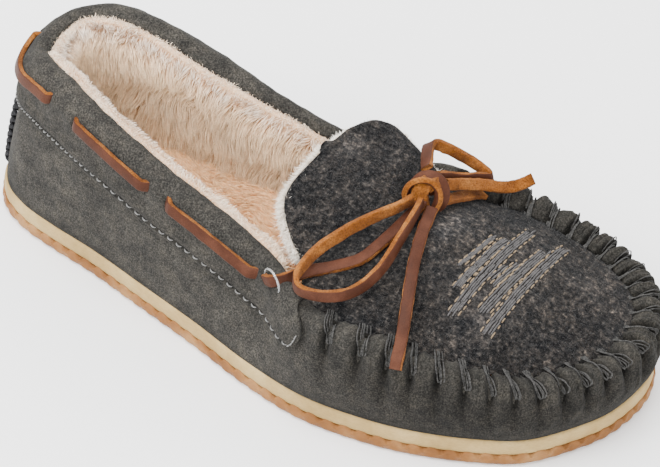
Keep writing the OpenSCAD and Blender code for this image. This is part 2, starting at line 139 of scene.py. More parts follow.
# ---------------------------------------------------------------- mesh helpers
RNG = np.random.default_rng(11)
def snoise(P, scale, seed=0, octaves=3):
    """Smooth noise, a seeded sum of waves; P in mm, scale in mm. About -1 to 1."""
    g = np.random.default_rng(1000 + seed); out = np.zeros(P.shape[:-1]); amp = 1.0
    for o in range(octaves):
        for _ in range(6):
            k = g.normal(size=3); k = k / np.linalg.norm(k) * (2 * math.pi / (scale / 2 ** o)) * g.uniform(.6, 1.3)
            out += amp * np.sin(P @ k + g.uniform(0, 6.28)) / 2.6
        amp *= .55
    return out / 1.9
def mesh_np(name, V, F, mats=(), col=None, smooth=True, mi=None):
    me = bpy.data.meshes.new(name); V = (np.asarray(V, float) * .001).astype(np.float32); F = np.asarray(F, np.int32); n, k = F.shape
    me.vertices.add(len(V)); me.vertices.foreach_set("co", V.ravel())
    me.loops.add(n * k); me.loops.foreach_set("vertex_index", F.ravel())
    me.polygons.add(n); me.polygons.foreach_set("loop_start", np.arange(0, n * k, k, dtype=np.int32))
    if mi is not None: me.polygons.foreach_set("material_index", np.asarray(mi, np.int32))
    me.polygons.foreach_set("use_smooth", np.full(n, bool(smooth)))
    me.update(calc_edges=True)
    if col is not None:
        a = me.color_attributes.new("tint", "FLOAT_COLOR", "POINT")
        C = np.ones((len(V), 4), np.float32); C[:, :3] = col; a.data.foreach_set("color", C.ravel())
    ob = bpy.data.objects.new(name, me); bpy.context.scene.collection.objects.link(ob)
    for m in mats: me.materials.append(m)
    return ob
def grid_faces(nu, nv, cu=False, cv=False, base=0):
    i = np.arange(nu if cu else nu - 1); j = np.arange(nv if cv else nv - 1); I, J = np.meshgrid(i, j, indexing="ij")
    I2, J2 = (I + 1) % nu, (J + 1) % nv
    return np.stack([I * nv + J, I2 * nv + J, I2 * nv + J2, I * nv + J2], -1).reshape(-1, 4) + base
def outward(V, F):
    """Faces turned so that the closed mesh's volume is positive."""
    a, b, c = V[F[:, 0]], V[F[:, 1]], V[F[:, 2]]; v = (a * np.cross(b, c)).sum()
    if F.shape[1] == 4:
        d = V[F[:, 3]]; v += (a * np.cross(c, d)).sum()
    return F if v > 0 else F[:, ::-1]
def grid_normals(P, cu=False, cv=False):
    du = np.roll(P, -1, 0) - np.roll(P, 1, 0); dv = np.roll(P, -1, 1) - np.roll(P, 1, 1)
    if not cu: du[0] = P[1] - P[0]; du[-1] = P[-1] - P[-2]
    if not cv: dv[:, 0] = P[:, 1] - P[:, 0]; dv[:, -1] = P[:, -1] - P[:, -2]
    return unit(np.cross(du, dv))
def loop_solid(name, P, mats, cu=False, mi=None, col=None):
    """P[nu, nv]: closed sections; closed along u, or capped with a strip between the two halves."""
    nu, nv = P.shape[:2]; V = P.reshape(-1, 3); F = grid_faces(nu, nv, cu, True)
    if not cu:
        h = nv // 2; j = np.arange(h - 1)
        c0 = np.stack([j, j + 1, nv - 2 - j, nv - 1 - j], -1); c1 = c0[:, ::-1] + (nu - 1) * nv
        F = np.vstack([F, c0, c1])
        lf = grid_faces(nu, nv, cu, True); a = V[lf[0]]
    F = outward(V, F)
    return mesh_np(name, V, F, mats, col, mi=mi)

def ribbon(name, P, W, w=4.4, t=2.2, mats=(), flip=False, rough=0.12, seed=3, taper=0):
    """A cut leather thong along P with its width near W: smooth face, raw edges and flesh side."""
    P = np.asarray(P, float); n = len(P)
    T = unit(np.gradient(P, axis=0)); B = unit(W - T * (W * T).sum(-1, keepdims=True)); N = np.cross(T, B)
    if flip: N = -N
    a, b = w / 2, t / 2; r = min(.55, b * .75)
    prof = []
    for cx, cy, a0 in ((a - r, b - r, 0), (-a + r, b - r, 90), (-a + r, -b + r, 180), (a - r, -b + r, 270)):
        for k in range(4):
            q = math.radians(a0 + 30 * k); prof.append((cx + r * math.cos(q), cy + r * math.sin(q)))
    prof = np.array(prof); m = len(prof)
    g = np.random.default_rng(seed)
    V = P[:, None] + B[:, None] * prof[None, :, 0:1] + N[:, None] * prof[None, :, 1:2]
    nz = g.normal(size=(n, m)); nz = (nz + np.roll(nz, 1, 0) + np.roll(nz, -1, 0)) / 1.7
    edge = np.clip(np.abs(prof[:, 0]) - (a - r * 1.2), 0, 1) + (prof[:, 1] < -b * .5) * .5
    V = V + (B[:, None] * np.sign(prof[None, :, 0:1]) * edge[None, :, None]) * nz[..., None] * rough
    top = (prof[:, 1] + np.roll(prof[:, 1], -1)) / 2 > b * .82
    V2 = V.reshape(-1, 3); F = grid_faces(n, m, False, True); mi = np.tile(np.where(top, 0, 1), n - 1)
    c0, c1 = P[0] - T[0] * .05, P[-1] + T[-1] * .05
    V2 = np.vstack([V2, c0, c1]); k = np.arange(m); k2 = (k + 1) % m
    C = np.vstack([np.stack([np.full(m, n * m), k2, k, k], -1), np.stack([np.full(m, n * m + 1), k + (n - 1) * m, k2 + (n - 1) * m, k2 + (n - 1) * m], -1)])
    V3, Q = V2, F
    tri = np.vstack([Q[:, [0, 1, 2]], Q[:, [0, 2, 3]], C[:, :3]])
    mt = np.concatenate([mi, mi, np.ones(2 * m, int)])
    a_, b_, c_ = V3[tri[:, 0]], V3[tri[:, 1]], V3[tri[:, 2]]
    if (a_ * np.cross(b_, c_)).sum() < 0: tri = tri[:, ::-1]
    return mesh_np(name, V3, tri, mats, mi=mt)
def tube_arrays(P, r, m=8, squash=None):
    P = np.asarray(P, float); n = len(P); T = unit(np.gradient(P, axis=0)); ref = np.array([.31, .2, .93])
    B = unit(np.cross(T, ref)); N = np.cross(T, B); q = np.arange(m) * 2 * math.pi / m
    r = np.broadcast_to(np.asarray(r, float), (n,))[:, None, None]
    V = P[:, None] + (B[:, None] * np.cos(q)[None, :, None] + N[:, None] * np.sin(q)[None, :, None]) * r
    V2 = np.vstack([V.reshape(-1, 3), P[0], P[-1]]); F = grid_faces(n, m, False, True)
    tri = np.vstack([F[:, [0, 1, 2]], F[:, [0, 2, 3]]]); k = np.arange(m); k2 = (k + 1) % m
    tri = np.vstack([tri, np.stack([np.full(m, n * m), k2, k], -1), np.stack([np.full(m, n * m + 1), k + (n - 1) * m, k2 + (n - 1) * m], -1)])
    a_, b_, c_ = V2[tri[:, 0]], V2[tri[:, 1]], V2[tri[:, 2]]
    if (a_ * np.cross(b_, c_)).sum() < 0: tri = tri[:, ::-1]
    return V2, tri
def join_tubes(name, L, mats):
    V, F, o = [], [], 0
    for v, f in L: V.append(v); F.append(f + o); o += len(v)
    return mesh_np(name, np.vstack(V), np.vstack(F), mats)
def blades(name, R, D, flow, L, Wd, c0, c1, mat, segs=3, seed=1, shade=None):
    """Fibres: tapered blades from roots R along D, bending towards flow. Tinted from root c0 to tip c1."""
    g = np.random.default_rng(seed); n = len(R); L = np.broadcast_to(L, (n,)); Wd = np.broadcast_to(Wd, (n,))
    side = unit(np.cross(D, g.normal(size=(n, 3)))); V = []; C = []
    sh = (np.ones(n) if shade is None else shade)[:, None] * g.uniform(.88, 1.1, (n, 1))
    for k in range(segs + 1):
        t = k / segs; p = R + (D * t * (1 - .35 * t) + flow * t * t) * L[:, None]
        c = (np.asarray(c0) * (1 - t) + np.asarray(c1) * t) * sh
        if k < segs:
            w = (Wd * (1 - .75 * t) / 2)[:, None]; V += [p - side * w, p + side * w]; C += [c, c]
        else: V.append(p); C.append(c)
    m = 2 * segs + 1; V = np.stack(V, 1).reshape(-1, 3); C = np.clip(np.stack(C, 1).reshape(-1, 3), 0, 1)
    f = []
    for k in range(segs - 1): f += [[2 * k, 2 * k + 1, 2 * k + 3], [2 * k, 2 * k + 3, 2 * k + 2]]
    f.append([2 * segs - 2, 2 * segs - 1, 2 * segs])
    F = (np.arange(n) * m)[:, None, None] + np.array(f)[None]
    return mesh_np(name, V, F.reshape(-1, 3), [mat], C)

# ---------------------------------------------------------------- materials
def new_mat(name, rough=.9, sheen=0, spec=.3):
    m = bpy.data.materials.new(name); m.use_nodes = True; nt = m.node_tree; b = nt.nodes["Principled BSDF"]
    b.inputs["Roughness"].default_value = rough
    b.inputs["Specular IOR Level"].default_value = spec
    if sheen:
        b.inputs["Sheen Weight"].default_value = sheen; b.inputs["Sheen Roughness"].default_value = .45
    return m, nt, b
def noise(nt, scale, detail=3, rough=.6, stretch=None):
    tc = nt.nodes.new("ShaderNodeTexCoord"); n = nt.nodes.new("ShaderNodeTexNoise")
    n.inputs["Scale"].default_value = scale; n.inputs["Detail"].default_value = detail; n.inputs["Roughness"].default_value = rough
    if stretch is not None:
        mp = nt.nodes.new("ShaderNodeMapping"); mp.inputs["Scale"].default_value = stretch[:3]
        if len(stretch) > 3: mp.inputs["Rotation"].default_value = stretch[3:]
        nt.links.new(tc.outputs["Object"], mp.inputs["Vector"]); nt.links.new(mp.outputs["Vector"], n.inputs["Vector"])
    else: nt.links.new(tc.outputs["Object"], n.inputs["Vector"])
    return n
def ramp(nt, src, stops):
    r = nt.nodes.new("ShaderNodeValToRGB"); e = r.color_ramp.elements
    while len(e) < len(stops): e.new(.5)
    for i, (p, c) in enumerate(stops): e[i].position = p; e[i].color = (*c, 1)
    nt.links.new(src, r.inputs["Fac"]); return r
def mixc(nt, fac, a, b, mode="MIX"):
    m = nt.nodes.new("ShaderNodeMix"); m.data_type = "RGBA"; m.blend_type = mode
    for s, v in ((m.inputs["Factor"], fac), (m.inputs[6], a), (m.inputs[7], b)):
        if isinstance(v, bpy.types.NodeSocket): nt.links.new(v, s)
        elif isinstance(v, tuple): s.default_value = (*v, 1)
        else: s.default_value = v
    return m.outputs[2]
def bump(nt, b, srcs):
    prev = None
    for src, st, dist in srcs:
        n = nt.nodes.new("ShaderNodeBump"); n.inputs["Strength"].default_value = st; n.inputs["Distance"].default_value = dist
        nt.links.new(src, n.inputs["Height"])
        if prev is not None: nt.links.new(prev.outputs["Normal"], n.inputs["Normal"])
        prev = n
    nt.links.new(prev.outputs["Normal"], b.inputs["Normal"])

def suede_mat(name, k=1.0):
    m, nt, b = new_mat(name, .97, .03, .02)
    ta = nt.nodes.new("ShaderNodeAttribute"); ta.attribute_name = "tint"
    big = noise(nt, 60, 5, .65); mid = noise(nt, 210, 4, .65); fine = noise(nt, 1700, 3, .7); streak = noise(nt, 420, 3, .6, (1, .35, 2.2))
    base = ramp(nt, big.outputs["Fac"], [(.3, (.0235 * k, .0226 * k, .0212 * k)), (.5, (.0305 * k, .0289 * k, .0266 * k)), (.7, (.0405 * k, .0380 * k, .0345 * k))])
    m1 = ramp(nt, mid.outputs["Fac"], [(.3, (.68, .70, .72)), (.52, (1, 1, 1)), (.75, (1.42, 1.38, 1.30))])
    f1 = ramp(nt, fine.outputs["Fac"], [(.32, (.30, .30, .30)), (.5, (1, 1, 1)), (.68, (2.5, 2.45, 2.34))])
    s1 = ramp(nt, streak.outputs["Fac"], [(.32, (.86, .88, .86)), (.6, (1.06, 1.04, 1.0))])
    c = mixc(nt, 1.0, base.outputs["Color"], m1.outputs["Color"], "MULTIPLY"); c = mixc(nt, .85, c, f1.outputs["Color"], "MULTIPLY"); c = mixc(nt, .8, c, s1.outputs["Color"], "MULTIPLY"); c = mixc(nt, 1.0, c, ta.outputs["Color"], "MULTIPLY")
    nt.links.new(c, b.inputs["Base Color"])
    bump(nt, b, [(mid.outputs["Fac"], .35, .0006), (fine.outputs["Fac"], .55, .00028)])
    rr = ramp(nt, mid.outputs["Fac"], [(.3, (.85,) * 3), (.7, (1.0,) * 3)]); nt.links.new(rr.outputs["Color"], b.inputs["Roughness"])
    return m
def tint_mat(name, k=(1, 1, 1), sheen=.25, rough=.85, fine=900):
    m, nt, b = new_mat(name, rough, sheen, .2)
    a = nt.nodes.new("ShaderNodeAttribute"); a.attribute_name = "tint"; n = noise(nt, fine, 3, .6)
    r = ramp(nt, n.outputs["Fac"], [(.3, (.82 * k[0], .82 * k[1], .82 * k[2])), (.7, (1.1 * k[0], 1.1 * k[1], 1.1 * k[2]))])
    nt.links.new(mixc(nt, 1.0, a.outputs["Color"], r.outputs["Color"], "MULTIPLY"), b.inputs["Base Color"])
    bump(nt, b, [(n.outputs["Fac"], .3, .0003)])
    return m
def pile_mat(name, lo, mid_, hi, sc=55):
    m, nt, b = new_mat(name, .95, .4, .15)
    big = noise(nt, sc, 4, .6); fine = noise(nt, 1100, 3, .6, (1, 1, .35))
    base = ramp(nt, big.outputs["Fac"], [(.3, lo), (.52, mid_), (.72, hi)]); f = ramp(nt, fine.outputs["Fac"], [(.3, (.72, .70, .68)), (.65, (1.1, 1.1, 1.1))])
    nt.links.new(mixc(nt, 1.0, base.outputs["Color"], f.outputs["Color"], "MULTIPLY"), b.inputs["Base Color"])
    bump(nt, b, [(big.outputs["Fac"], .4, .002), (fine.outputs["Fac"], .6, .0006)])
    return m
def wool_mat():
    m, nt, b = new_mat("wool_heather", .97, .04, .02)
    ta = nt.nodes.new("ShaderNodeAttribute"); ta.attribute_name = "tint"
    tc = noise(nt, 26, 3, .5); flk = noise(nt, 1000, 3, .75, (1, .42, .8, 0, 0, .5)); flk2 = noise(nt, 1200, 3, .75, (.42, 1, .8, 0, 0, -.3)); mid = noise(nt, 430, 4, .7); low = noise(nt, 150, 3, .6)
    base = ramp(nt, tc.outputs["Fac"], [(.36, (.0150, .0148, .0152)), (.55, (.0205, .0193, .0186)), (.68, (.029, .0270, .0258))])
    f = ramp(nt, flk.outputs["Fac"], [(.38, (.55, .55, .56)), (.54, (1.0, 1.0, 1.0)), (.68, (2.3, 2.2, 2.1)), (.78, (3.2, 3.0, 2.7))])
    f2 = ramp(nt, flk2.outputs["Fac"], [(.38, (.6, .6, .62)), (.58, (1.0, 1.0, 1.0)), (.72, (2.1, 2.0, 1.9))])
    md = ramp(nt, mid.outputs["Fac"], [(.32, (.35, .38, .42)), (.5, (1, 1, 1)), (.64, (2.4, 2.25, 2.1)), (.76, (4.2, 3.9, 3.5))])
    lw = ramp(nt, low.outputs["Fac"], [(.34, (.72, .76, .80)), (.66, (1.45, 1.38, 1.30))])
    c = mixc(nt, 1.0, base.outputs["Color"], f.outputs["Color"], "MULTIPLY"); c = mixc(nt, 1.0, c, f2.outputs["Color"], "MULTIPLY"); c = mixc(nt, 1.0, c, md.outputs["Color"], "MULTIPLY"); c = mixc(nt, 1.0, c, lw.outputs["Color"], "MULTIPLY"); c = mixc(nt, 1.0, c, ta.outputs["Color"], "MULTIPLY")
    nt.links.new(c, b.inputs["Base Color"])
    bump(nt, b, [(mid.outputs["Fac"], .9, .0014), (flk.outputs["Fac"], .8, .0005)])
    return m
def rubber_mat(name, lo, mid_, hi, rough=.6, streak=(1, 1, 3)):
    m, nt, b = new_mat(name, rough, 0, .12)
    big = noise(nt, 60, 4, .6); fine = noise(nt, 700, 4, .6, streak); sp = noise(nt, 2600, 2, .6)
    base = ramp(nt, big.outputs["Fac"], [(.3, lo), (.5, mid_), (.7, hi)]); f = ramp(nt, fine.outputs["Fac"], [(.3, (.86, .85, .82)), (.6, (1.04, 1.04, 1.04))])
    nt.links.new(mixc(nt, 1.0, base.outputs["Color"], f.outputs["Color"], "MULTIPLY"), b.inputs["Base Color"])
    bump(nt, b, [(fine.outputs["Fac"], .25, .0005), (sp.outputs["Fac"], .2, .00015)])
    rr = ramp(nt, fine.outputs["Fac"], [(.3, (rough - .1,) * 3), (.7, (rough + .15,) * 3)]); nt.links.new(rr.outputs["Color"], b.inputs["Roughness"])
    return m
def leather_face():
    m, nt, b = new_mat("thong_face", .6, 0, .07)
    big = noise(nt, 90, 4, .6); fine = noise(nt, 2400, 3, .6); v = nt.nodes.new("ShaderNodeTexVoronoi"); v.inputs["Scale"].default_value = 1900
    tc = nt.nodes.new("ShaderNodeTexCoord"); nt.links.new(tc.outputs["Object"], v.inputs["Vector"])
    base = ramp(nt, big.outputs["Fac"], [(.3, (.034, .0115, .0062)), (.5, (.052, .0182, .0098)), (.72, (.082, .0310, .0175))])
    f = ramp(nt, fine.outputs["Fac"], [(.3, (.78, .76, .74)), (.7, (1.18, 1.2, 1.22))])
    nt.links.new(mixc(nt, 1.0, base.outputs["Color"], f.outputs["Color"], "MULTIPLY"), b.inputs["Base Color"])
    bump(nt, b, [(v.outputs["Distance"], .3, .00018), (fine.outputs["Fac"], .2, .00012)])
    rr = ramp(nt, big.outputs["Fac"], [(.3, (.42,) * 3), (.7, (.62,) * 3)]); nt.links.new(rr.outputs["Color"], b.inputs["Roughness"])
    return m
def leather_raw():
    m, nt, b = new_mat("thong_raw_edge", .95, .05, .03)
    big = noise(nt, 120, 4, .6); fine = noise(nt, 1900, 4, .75)
    base = ramp(nt, big.outputs["Fac"], [(.3, (.11, .034, .0055)), (.5, (.20, .066, .0115)), (.72, (.34, .135, .032))])
    f = ramp(nt, fine.outputs["Fac"], [(.34, (.42, .38, .34)), (.5, (1, 1, 1)), (.68, (1.5, 1.52, 1.6))])
    nt.links.new(mixc(nt, 1.0, base.outputs["Color"], f.outputs["Color"], "MULTIPLY"), b.inputs["Base Color"])
    bump(nt, b, [(fine.outputs["Fac"], 1.0, .0008)])
    return m
def thread_mat(name, lo, hi):
    m, nt, b = new_mat(name, .8, .04, .06)
    n = noise(nt, 1500, 3, .7); base = ramp(nt, n.outputs["Fac"], [(.35, lo), (.65, hi)]); nt.links.new(base.outputs["Color"], b.inputs["Base Color"])
    w = nt.nodes.new("ShaderNodeTexWave"); w.inputs["Scale"].default_value = 900; w.inputs["Distortion"].default_value = 2
    tc = nt.nodes.new("ShaderNodeTexCoord"); nt.links.new(tc.outputs["Object"], w.inputs["Vector"])
    bump(nt, b, [(w.outputs["Fac"], .5, .0003), (n.outputs["Fac"], .4, .0002)])
    return m

M_suede = suede_mat("suede_nap"); M_collar = suede_mat("suede_collar_nap", .92)
M_wool = wool_mat(); M_fuzz = tint_mat("wool_fuzz", sheen=.1); M_fur = tint_mat("pile_fibres", sheen=.35)
M_pile = pile_mat("pile_ground", (.62, .38, .20), (.76, .52, .33), (.84, .64, .45))
M_bed = pile_mat("pile_trodden", (.70, .40, .19), (.80, .50, .27), (.86, .58, .34), 30)
M_gum = rubber_mat("gum_rubber_skin", (.150, .058, .016), (.215, .092, .028), (.32, .17, .066), .5, (1, 1, 4))
M_side = rubber_mat("cream_rubber_skin", (.30, .200, .074), (.37, .255, .105), (.45, .325, .150), .55)
M_face = leather_face(); M_raw = leather_raw(); LACE = [M_face, M_raw]
M_tgrey = thread_mat("waxed_thread_grey", (.018, .018, .018), (.070, .068, .064)); M_tlight = thread_mat("thread_light", (.10, .10, .097), (.22, .218, .21)); M_tdark = thread_mat("thread_dark", (.008, .008, .009), (.03, .03, .032))
M_yarn = thread_mat("stripe_yarn_cream", (.14, .098, .058), (.27, .205, .135)); M_yarng = thread_mat("stripe_yarn_taupe", (.046, .045, .046), (.105, .099, .097))

def place(ob, body, slot, *nodes):
    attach(ob, body)
    if nodes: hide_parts(*nodes)
    return ob

# ---------------------------------------------------------------- cords: the free stretches of the bow
NLP = [[7.6,-35.8,67],[2,-32.6,66.4],[-4,-28,66],[-14,-21,64.6],[-26,-14.5,62.4],[-36,-12,60.8],[-42,-12.5,60.2],[-45.5,-16.5,59.8],[-43,-26,59.2],[-36.5,-33.5,59.8],[-25,-38,61.8],[-10,-39.3,65.2],[2,-39.6,67],[7.4,-39.2,67.6]]
NLW = [[0,0,1],[0,.1,1],[.1,.2,1],[.2,.3,1],[.2,.3,1],[.1,.2,1],[0,0,1],[0,0,1],[.2,.1,1],[.1,.3,1],[0,.4,1],[0,.3,1],[0,.1,1],[0,0,1]]
FLP = [[23,-34.6,68.4],[29,-32.2,68],[35.5,-30.2,66.8],[39.2,-32.6,65],[41.3,-40.6,61.6],[42.4,-48.4,57.6],[41.2,-53,55.4],[37,-49.4,57.6],[32.5,-46.6,59.8],[27.5,-42,63],[23.2,-38.8,65.6]]
FLW = [[.1,-.7,.7],[.1,-.9,.4],[.2,-.8,.5],[.3,-.3,.9],[0,.3,1],[0,.4,1],[.2,.4,1],[0,.3,1],[0,.3,1],[0,.3,1],[0,.2,1]]
NTL = [[8.8,-43.2,64.3],[-3,-44.6,63.8],[-16,-47.2,61.8],[-27,-50.2,57.8],[-37.4,-53.2,52.8],[-45.5,-55.4,50.2],[-50.5,-56.6,49],[-53.5,-57.3,46.4]]
NTW = [[.1,1,.1],[.2,1,.1],[.2,1,.2],[.2,1,.2],[.2,1,.2],[.2,1,.1],[.2,1,0],[.2,1,0]]
FTL = [[21.6,-42.8,64.8],[26,-46,62.6],[34.6,-52.2,57.4],[41,-59,53.4],[45.3,-63.3,53],[48.6,-67.2,54.8]]
FTW = [[.2,.3,1],[.3,.3,.9],[.5,.4,.7],[.6,.5,.6],[.6,.5,.6],[.6,.5,.6]]
def even(P, W, n):
    u = np.linspace(0, 1, 400); A, B = cro(P, u), cro(W, u); L = np.r_[0, np.cumsum(np.linalg.norm(np.diff(A, axis=0), axis=1))]
    x = np.linspace(0, L[-1], n); return np.stack([np.interp(x, L, A[:, i]) for i in range(3)], -1), np.stack([np.interp(x, L, B[:, i]) for i in range(3)], -1), L[-1]
def cord(name, P, W, body, node, flip, seed):
    A, B, L = even(P, W, max(40, int(len(P) * 9)))
    o = ribbon(name, A, B, 4.4, 2.2, LACE, flip, .10, seed)
    place(o, body, "lace_leather", node)
    return o
cord("thong_loop_near", NLP, NLW, "near_loop", "bow_loop_near", False, 21)
cord("thong_loop_far", FLP, FLW, "far_loop", "bow_loop_far", True, 22)
cord("thong_tail_near", NTL, NTW, "near_tail", "lace_tail_near", True, 23)
cord("thong_tail_far", FTL, FTW, "far_tail", "lace_tail_far", True, 24)

# ---------------------------------------------------------------- sole
def sole():
    n = 1400; s = np.linspace(0, 30, n, endpoint=False)
    base = crc(FOOT, s); L = np.r_[0, np.cumsum(np.linalg.norm(np.diff(np.vstack([base, base[:1]]), axis=0), axis=1))]; per = L[-1]; L = L[:-1]
    k = round(per / 6.6); ph = L / per * k * 2 * math.pi
    wave = np.sin(ph) + .25 * np.sin(2 * ph + 1.3); wv2 = np.sin(ph * .5 + .6 * np.sin(L / 41)); ir = snoise(foot(s, np.zeros(n), 0.), 30, 5)
    # gum: bottom centre line, bottom edge with tread scallops, wavy foxing edge on top
    prof = []
    def ring(d, z): prof.append(foot(s, d, z))
    z0 = np.zeros(n)
    ring(z0 + 3.2, z0); ring(z0 + 1.2, z0 + .0); ring(z0 + .75 - .25 * wave, z0 + .35 + .35 * (wave + 1)); ring(z0 + .25 - .28 * wave, z0 + 1.3); ring(z0 - .05 - .22 * wave, z0 + 2.4)
    ring(z0 - .05 + .18 * wave, z0 + 3.6); ring(z0 + .02 + .22 * wave, z0 + 4.6 + .35 * wave + .3 * ir); ring(z0 + .25, z0 + 5.35 + .85 * wave + .45 * ir); ring(z0 + .75, z0 + 5.7 + .85 * wave + .45 * ir); ring(z0 + 1.5, z0 + 5.2 + .4 * wave); ring(z0 + 3.2, z0 + 4.9)
    P = np.stack(prof, 1); V = P.reshape(-1, 3); nv = P.shape[1]; F = grid_faces(n, nv, True, False)
    # flat underside and top, filled across between the two sides
    m = n // 2; i = np.arange(m - 1) + 1
    def fill(j):
        a = (i) * nv + j; b = (i + 1) % n * nv + j; c = ((n - i - 1) % n) * nv + j; d = ((n - i) % n) * nv + j
        Q = np.stack([a, b, c, d], -1)
        return Q[:m - 2]
    e0 = np.array([[0, nv * 1, nv * (n - 1), nv * (n - 1)]]); bot = fill(0); top = fill(nv - 1)
    tris = np.vstack([F[:, [0, 1, 2]], F[:, [0, 2, 3]], bot[:, [0, 2, 1]], bot[:, [0, 3, 2]], top[:, [0, 1, 2]], top[:, [0, 2, 3]],
        [[0, nv, (n - 1) * nv]], [[nv - 1, (n - 1) * nv + nv - 1, nv + nv - 1]],
        [[(m - 1) * nv, (m + 1) * nv, m * nv]], [[(m - 1) * nv + nv - 1, m * nv + nv - 1, (m + 1) * nv + nv - 1]]])
    a, b, c = V[tris[:, 0]], V[tris[:, 1]], V[tris[:, 2]]
    if (a * np.cross(b, c)).sum() < 0: tris = tris[:, ::-1]
    place(mesh_np("gum_outsole", V, tris, [M_gum]), "shoe", "gum_rubber", "outsole")
    prof.clear()
    ring(z0 + 3.6, z0 + 5.0); ring(z0 + 1.3, z0 + 5.1); ring(z0 + .75, z0 + 5.8); ring(z0 + .5, z0 + 7.4); ring(z0 + .55 + .06 * wv2, z0 + 9.2); ring(z0 + .72, z0 + 10.6); ring(z0 + .95 + .05 * ir, z0 + 11.6 + .12 * ir); ring(z0 + 1.45, z0 + 12.15 + .15 * ir); ring(z0 + 2.1, z0 + 12.1); ring(z0 + 3.6, z0 + 11.9)
    P = np.stack(prof, 1); V = P.reshape(-1, 3); nv = P.shape[1]; F = grid_faces(n, nv, True, False); bot = fill(0); top = fill(nv - 1)
    tris = np.vstack([F[:, [0, 1, 2]], F[:, [0, 2, 3]], bot[:, [0, 2, 1]], bot[:, [0, 3, 2]], top[:, [0, 1, 2]], top[:, [0, 2, 3]],
        [[0, nv, (n - 1) * nv]], [[nv - 1, (n - 1) * nv + nv - 1, nv + nv - 1]],
        [[(m - 1) * nv, (m + 1) * nv, m * nv]], [[(m - 1) * nv + nv - 1, m * nv + nv - 1, (m + 1) * nv + nv - 1]]])
    a, b, c = V[tris[:, 0]], V[tris[:, 1]], V[tris[:, 2]]
    if (a * np.cross(b, c)).sum() < 0: tris = tris[:, ::-1]
    place(mesh_np("cream_sidewall", V, tris, [M_side]), "shoe", "sidewall_rubber", "midsole")
sole()

# ---------------------------------------------------------------- suede wrap with its puckered toe band
S0, SN = 8.35, 27
STEP = 12.5 / (SN - 1)
gk = np.random.default_rng(5); K_AMP = gk.uniform(.75, 1.25, 40); K_OFF = gk.normal(0, .05, 40); K_LEN = gk.uniform(.1, .42, 40)
def pucker(s):
    """Distance to the nearest gather, 0 at a stitch and .5 between two; and that gather's number."""
    q = np.mod(s, 30.0); k = (q - S0) / STEP; i = np.clip(np.round(k), 0, SN - 1).astype(int)
    return np.abs(k - i), i, ss(7.95, 8.3, q) * (1 - ss(20.9, 21.25, q))
def wrap():
    n = 1680; s = np.linspace(0, 30, n, endpoint=False)[:, None]
    vt = 1 - .14 * (1 - turned(s)); vs = np.linspace(0, 1, 44)[None]; wt = np.maximum(turned(s), .02); ws = np.linspace(0, 1, 17)[None, 1:]
    O = np.concatenate([wall(s, vt * vs), roof(s, wt * ws)], 1); I = np.concatenate([wall(s, vt * np.linspace(0, 1, 8)[None], SUEDE), roof(s, wt * np.linspace(0, 1, 5)[None, 1:], SUEDE)], 1)
    N = grid_normals(O, True); N = -N if (N[:, 20] * inw(s[:, 0])).sum() > 0 else N
    q = np.concatenate([np.broadcast_to(vs, (n, 44)), 1 + np.broadcast_to(ws, (n, 16)) * .5], 1)
    f, i, on = pucker(s); f = np.minimum(f, .5)
    fo = f + K_OFF[i] * ss(1.0, .5, q) * .6
    h = 1 - np.exp(-(fo / .145) ** 2); h2 = np.sin(np.clip(fo, 0, .5) * math.pi)
    A = K_AMP[i] * (4.3 * ss(.70, .98, q) * (1 - .35 * ss(1.25, 1.5, q)))
    B = K_AMP[i] * 2.0 * ss(K_LEN[i], K_LEN[i] + .35, q) * (1 - ss(.7, .95, q))
    sink = (h - .62) * np.where(h < .62, 1 - .85 * ss(1.28, 1.46, q), 1)
    d = on * (A * sink + B * (h2 - .6))
    # each pucker overhangs its neighbour a little, and folds fade down the wall
    d += on * .35 * ss(.7, 1.0, q) * np.sin(4 * math.pi * f + i * 1.7)
    soft = snoise(O, 42, 1) * .45 + snoise(O, 15, 2) * .16 + snoise(O, 5.5, 3) * .06
    d = d + soft * ss(0, .15, q) * (1 - .7 * ss(.9, 1.0, q) * rear(s))
    # creases where the quarter bends behind the toe gathers
    O = O + N * d[..., None]
    O[:, 0] += inw(s[:, 0]) * -.0
    # painted shade: the suede's tint is darkened to 0.6 round the toe, on the side away from the light, and further
    # darkened in the grooves at each stitch and in the folds low on the wall. The tint is also lighter on the pucker
    # crests and darker along the bottom tenth of the wall.
    q30 = np.mod(s, 30.0); toe = ss(7.0, 9.6, q30) * (1 - ss(20.2, 22.2, q30))
    k = (1 - .40 * toe) * (1 - on * ss(.6, .95, q) * .62 * (1 - h)) * (1 - .28 * on * ss(.2, .6, q) * (1 - h2)) * (1 + .5 * ss(.0, .9, h2) * on * ss(.7, 1.0, q) * .5) * (1 - .25 * (1 - ss(0, .10, q)))
    # the inner face gets a tint of 0.8: painted shade inside the wall
    painted_shade_tint = np.concatenate([k, np.full((n, I.shape[1]), .8)], 1).reshape(-1, 1) * np.ones((1, 3))
    P = np.concatenate([O, I[:, ::-1]], 1)
    ob = loop_solid("suede_wrap", P, [M_suede], cu=True, col=painted_shade_tint)
    return place(ob, "shoe", "suede", "upper_wall")
wrap()

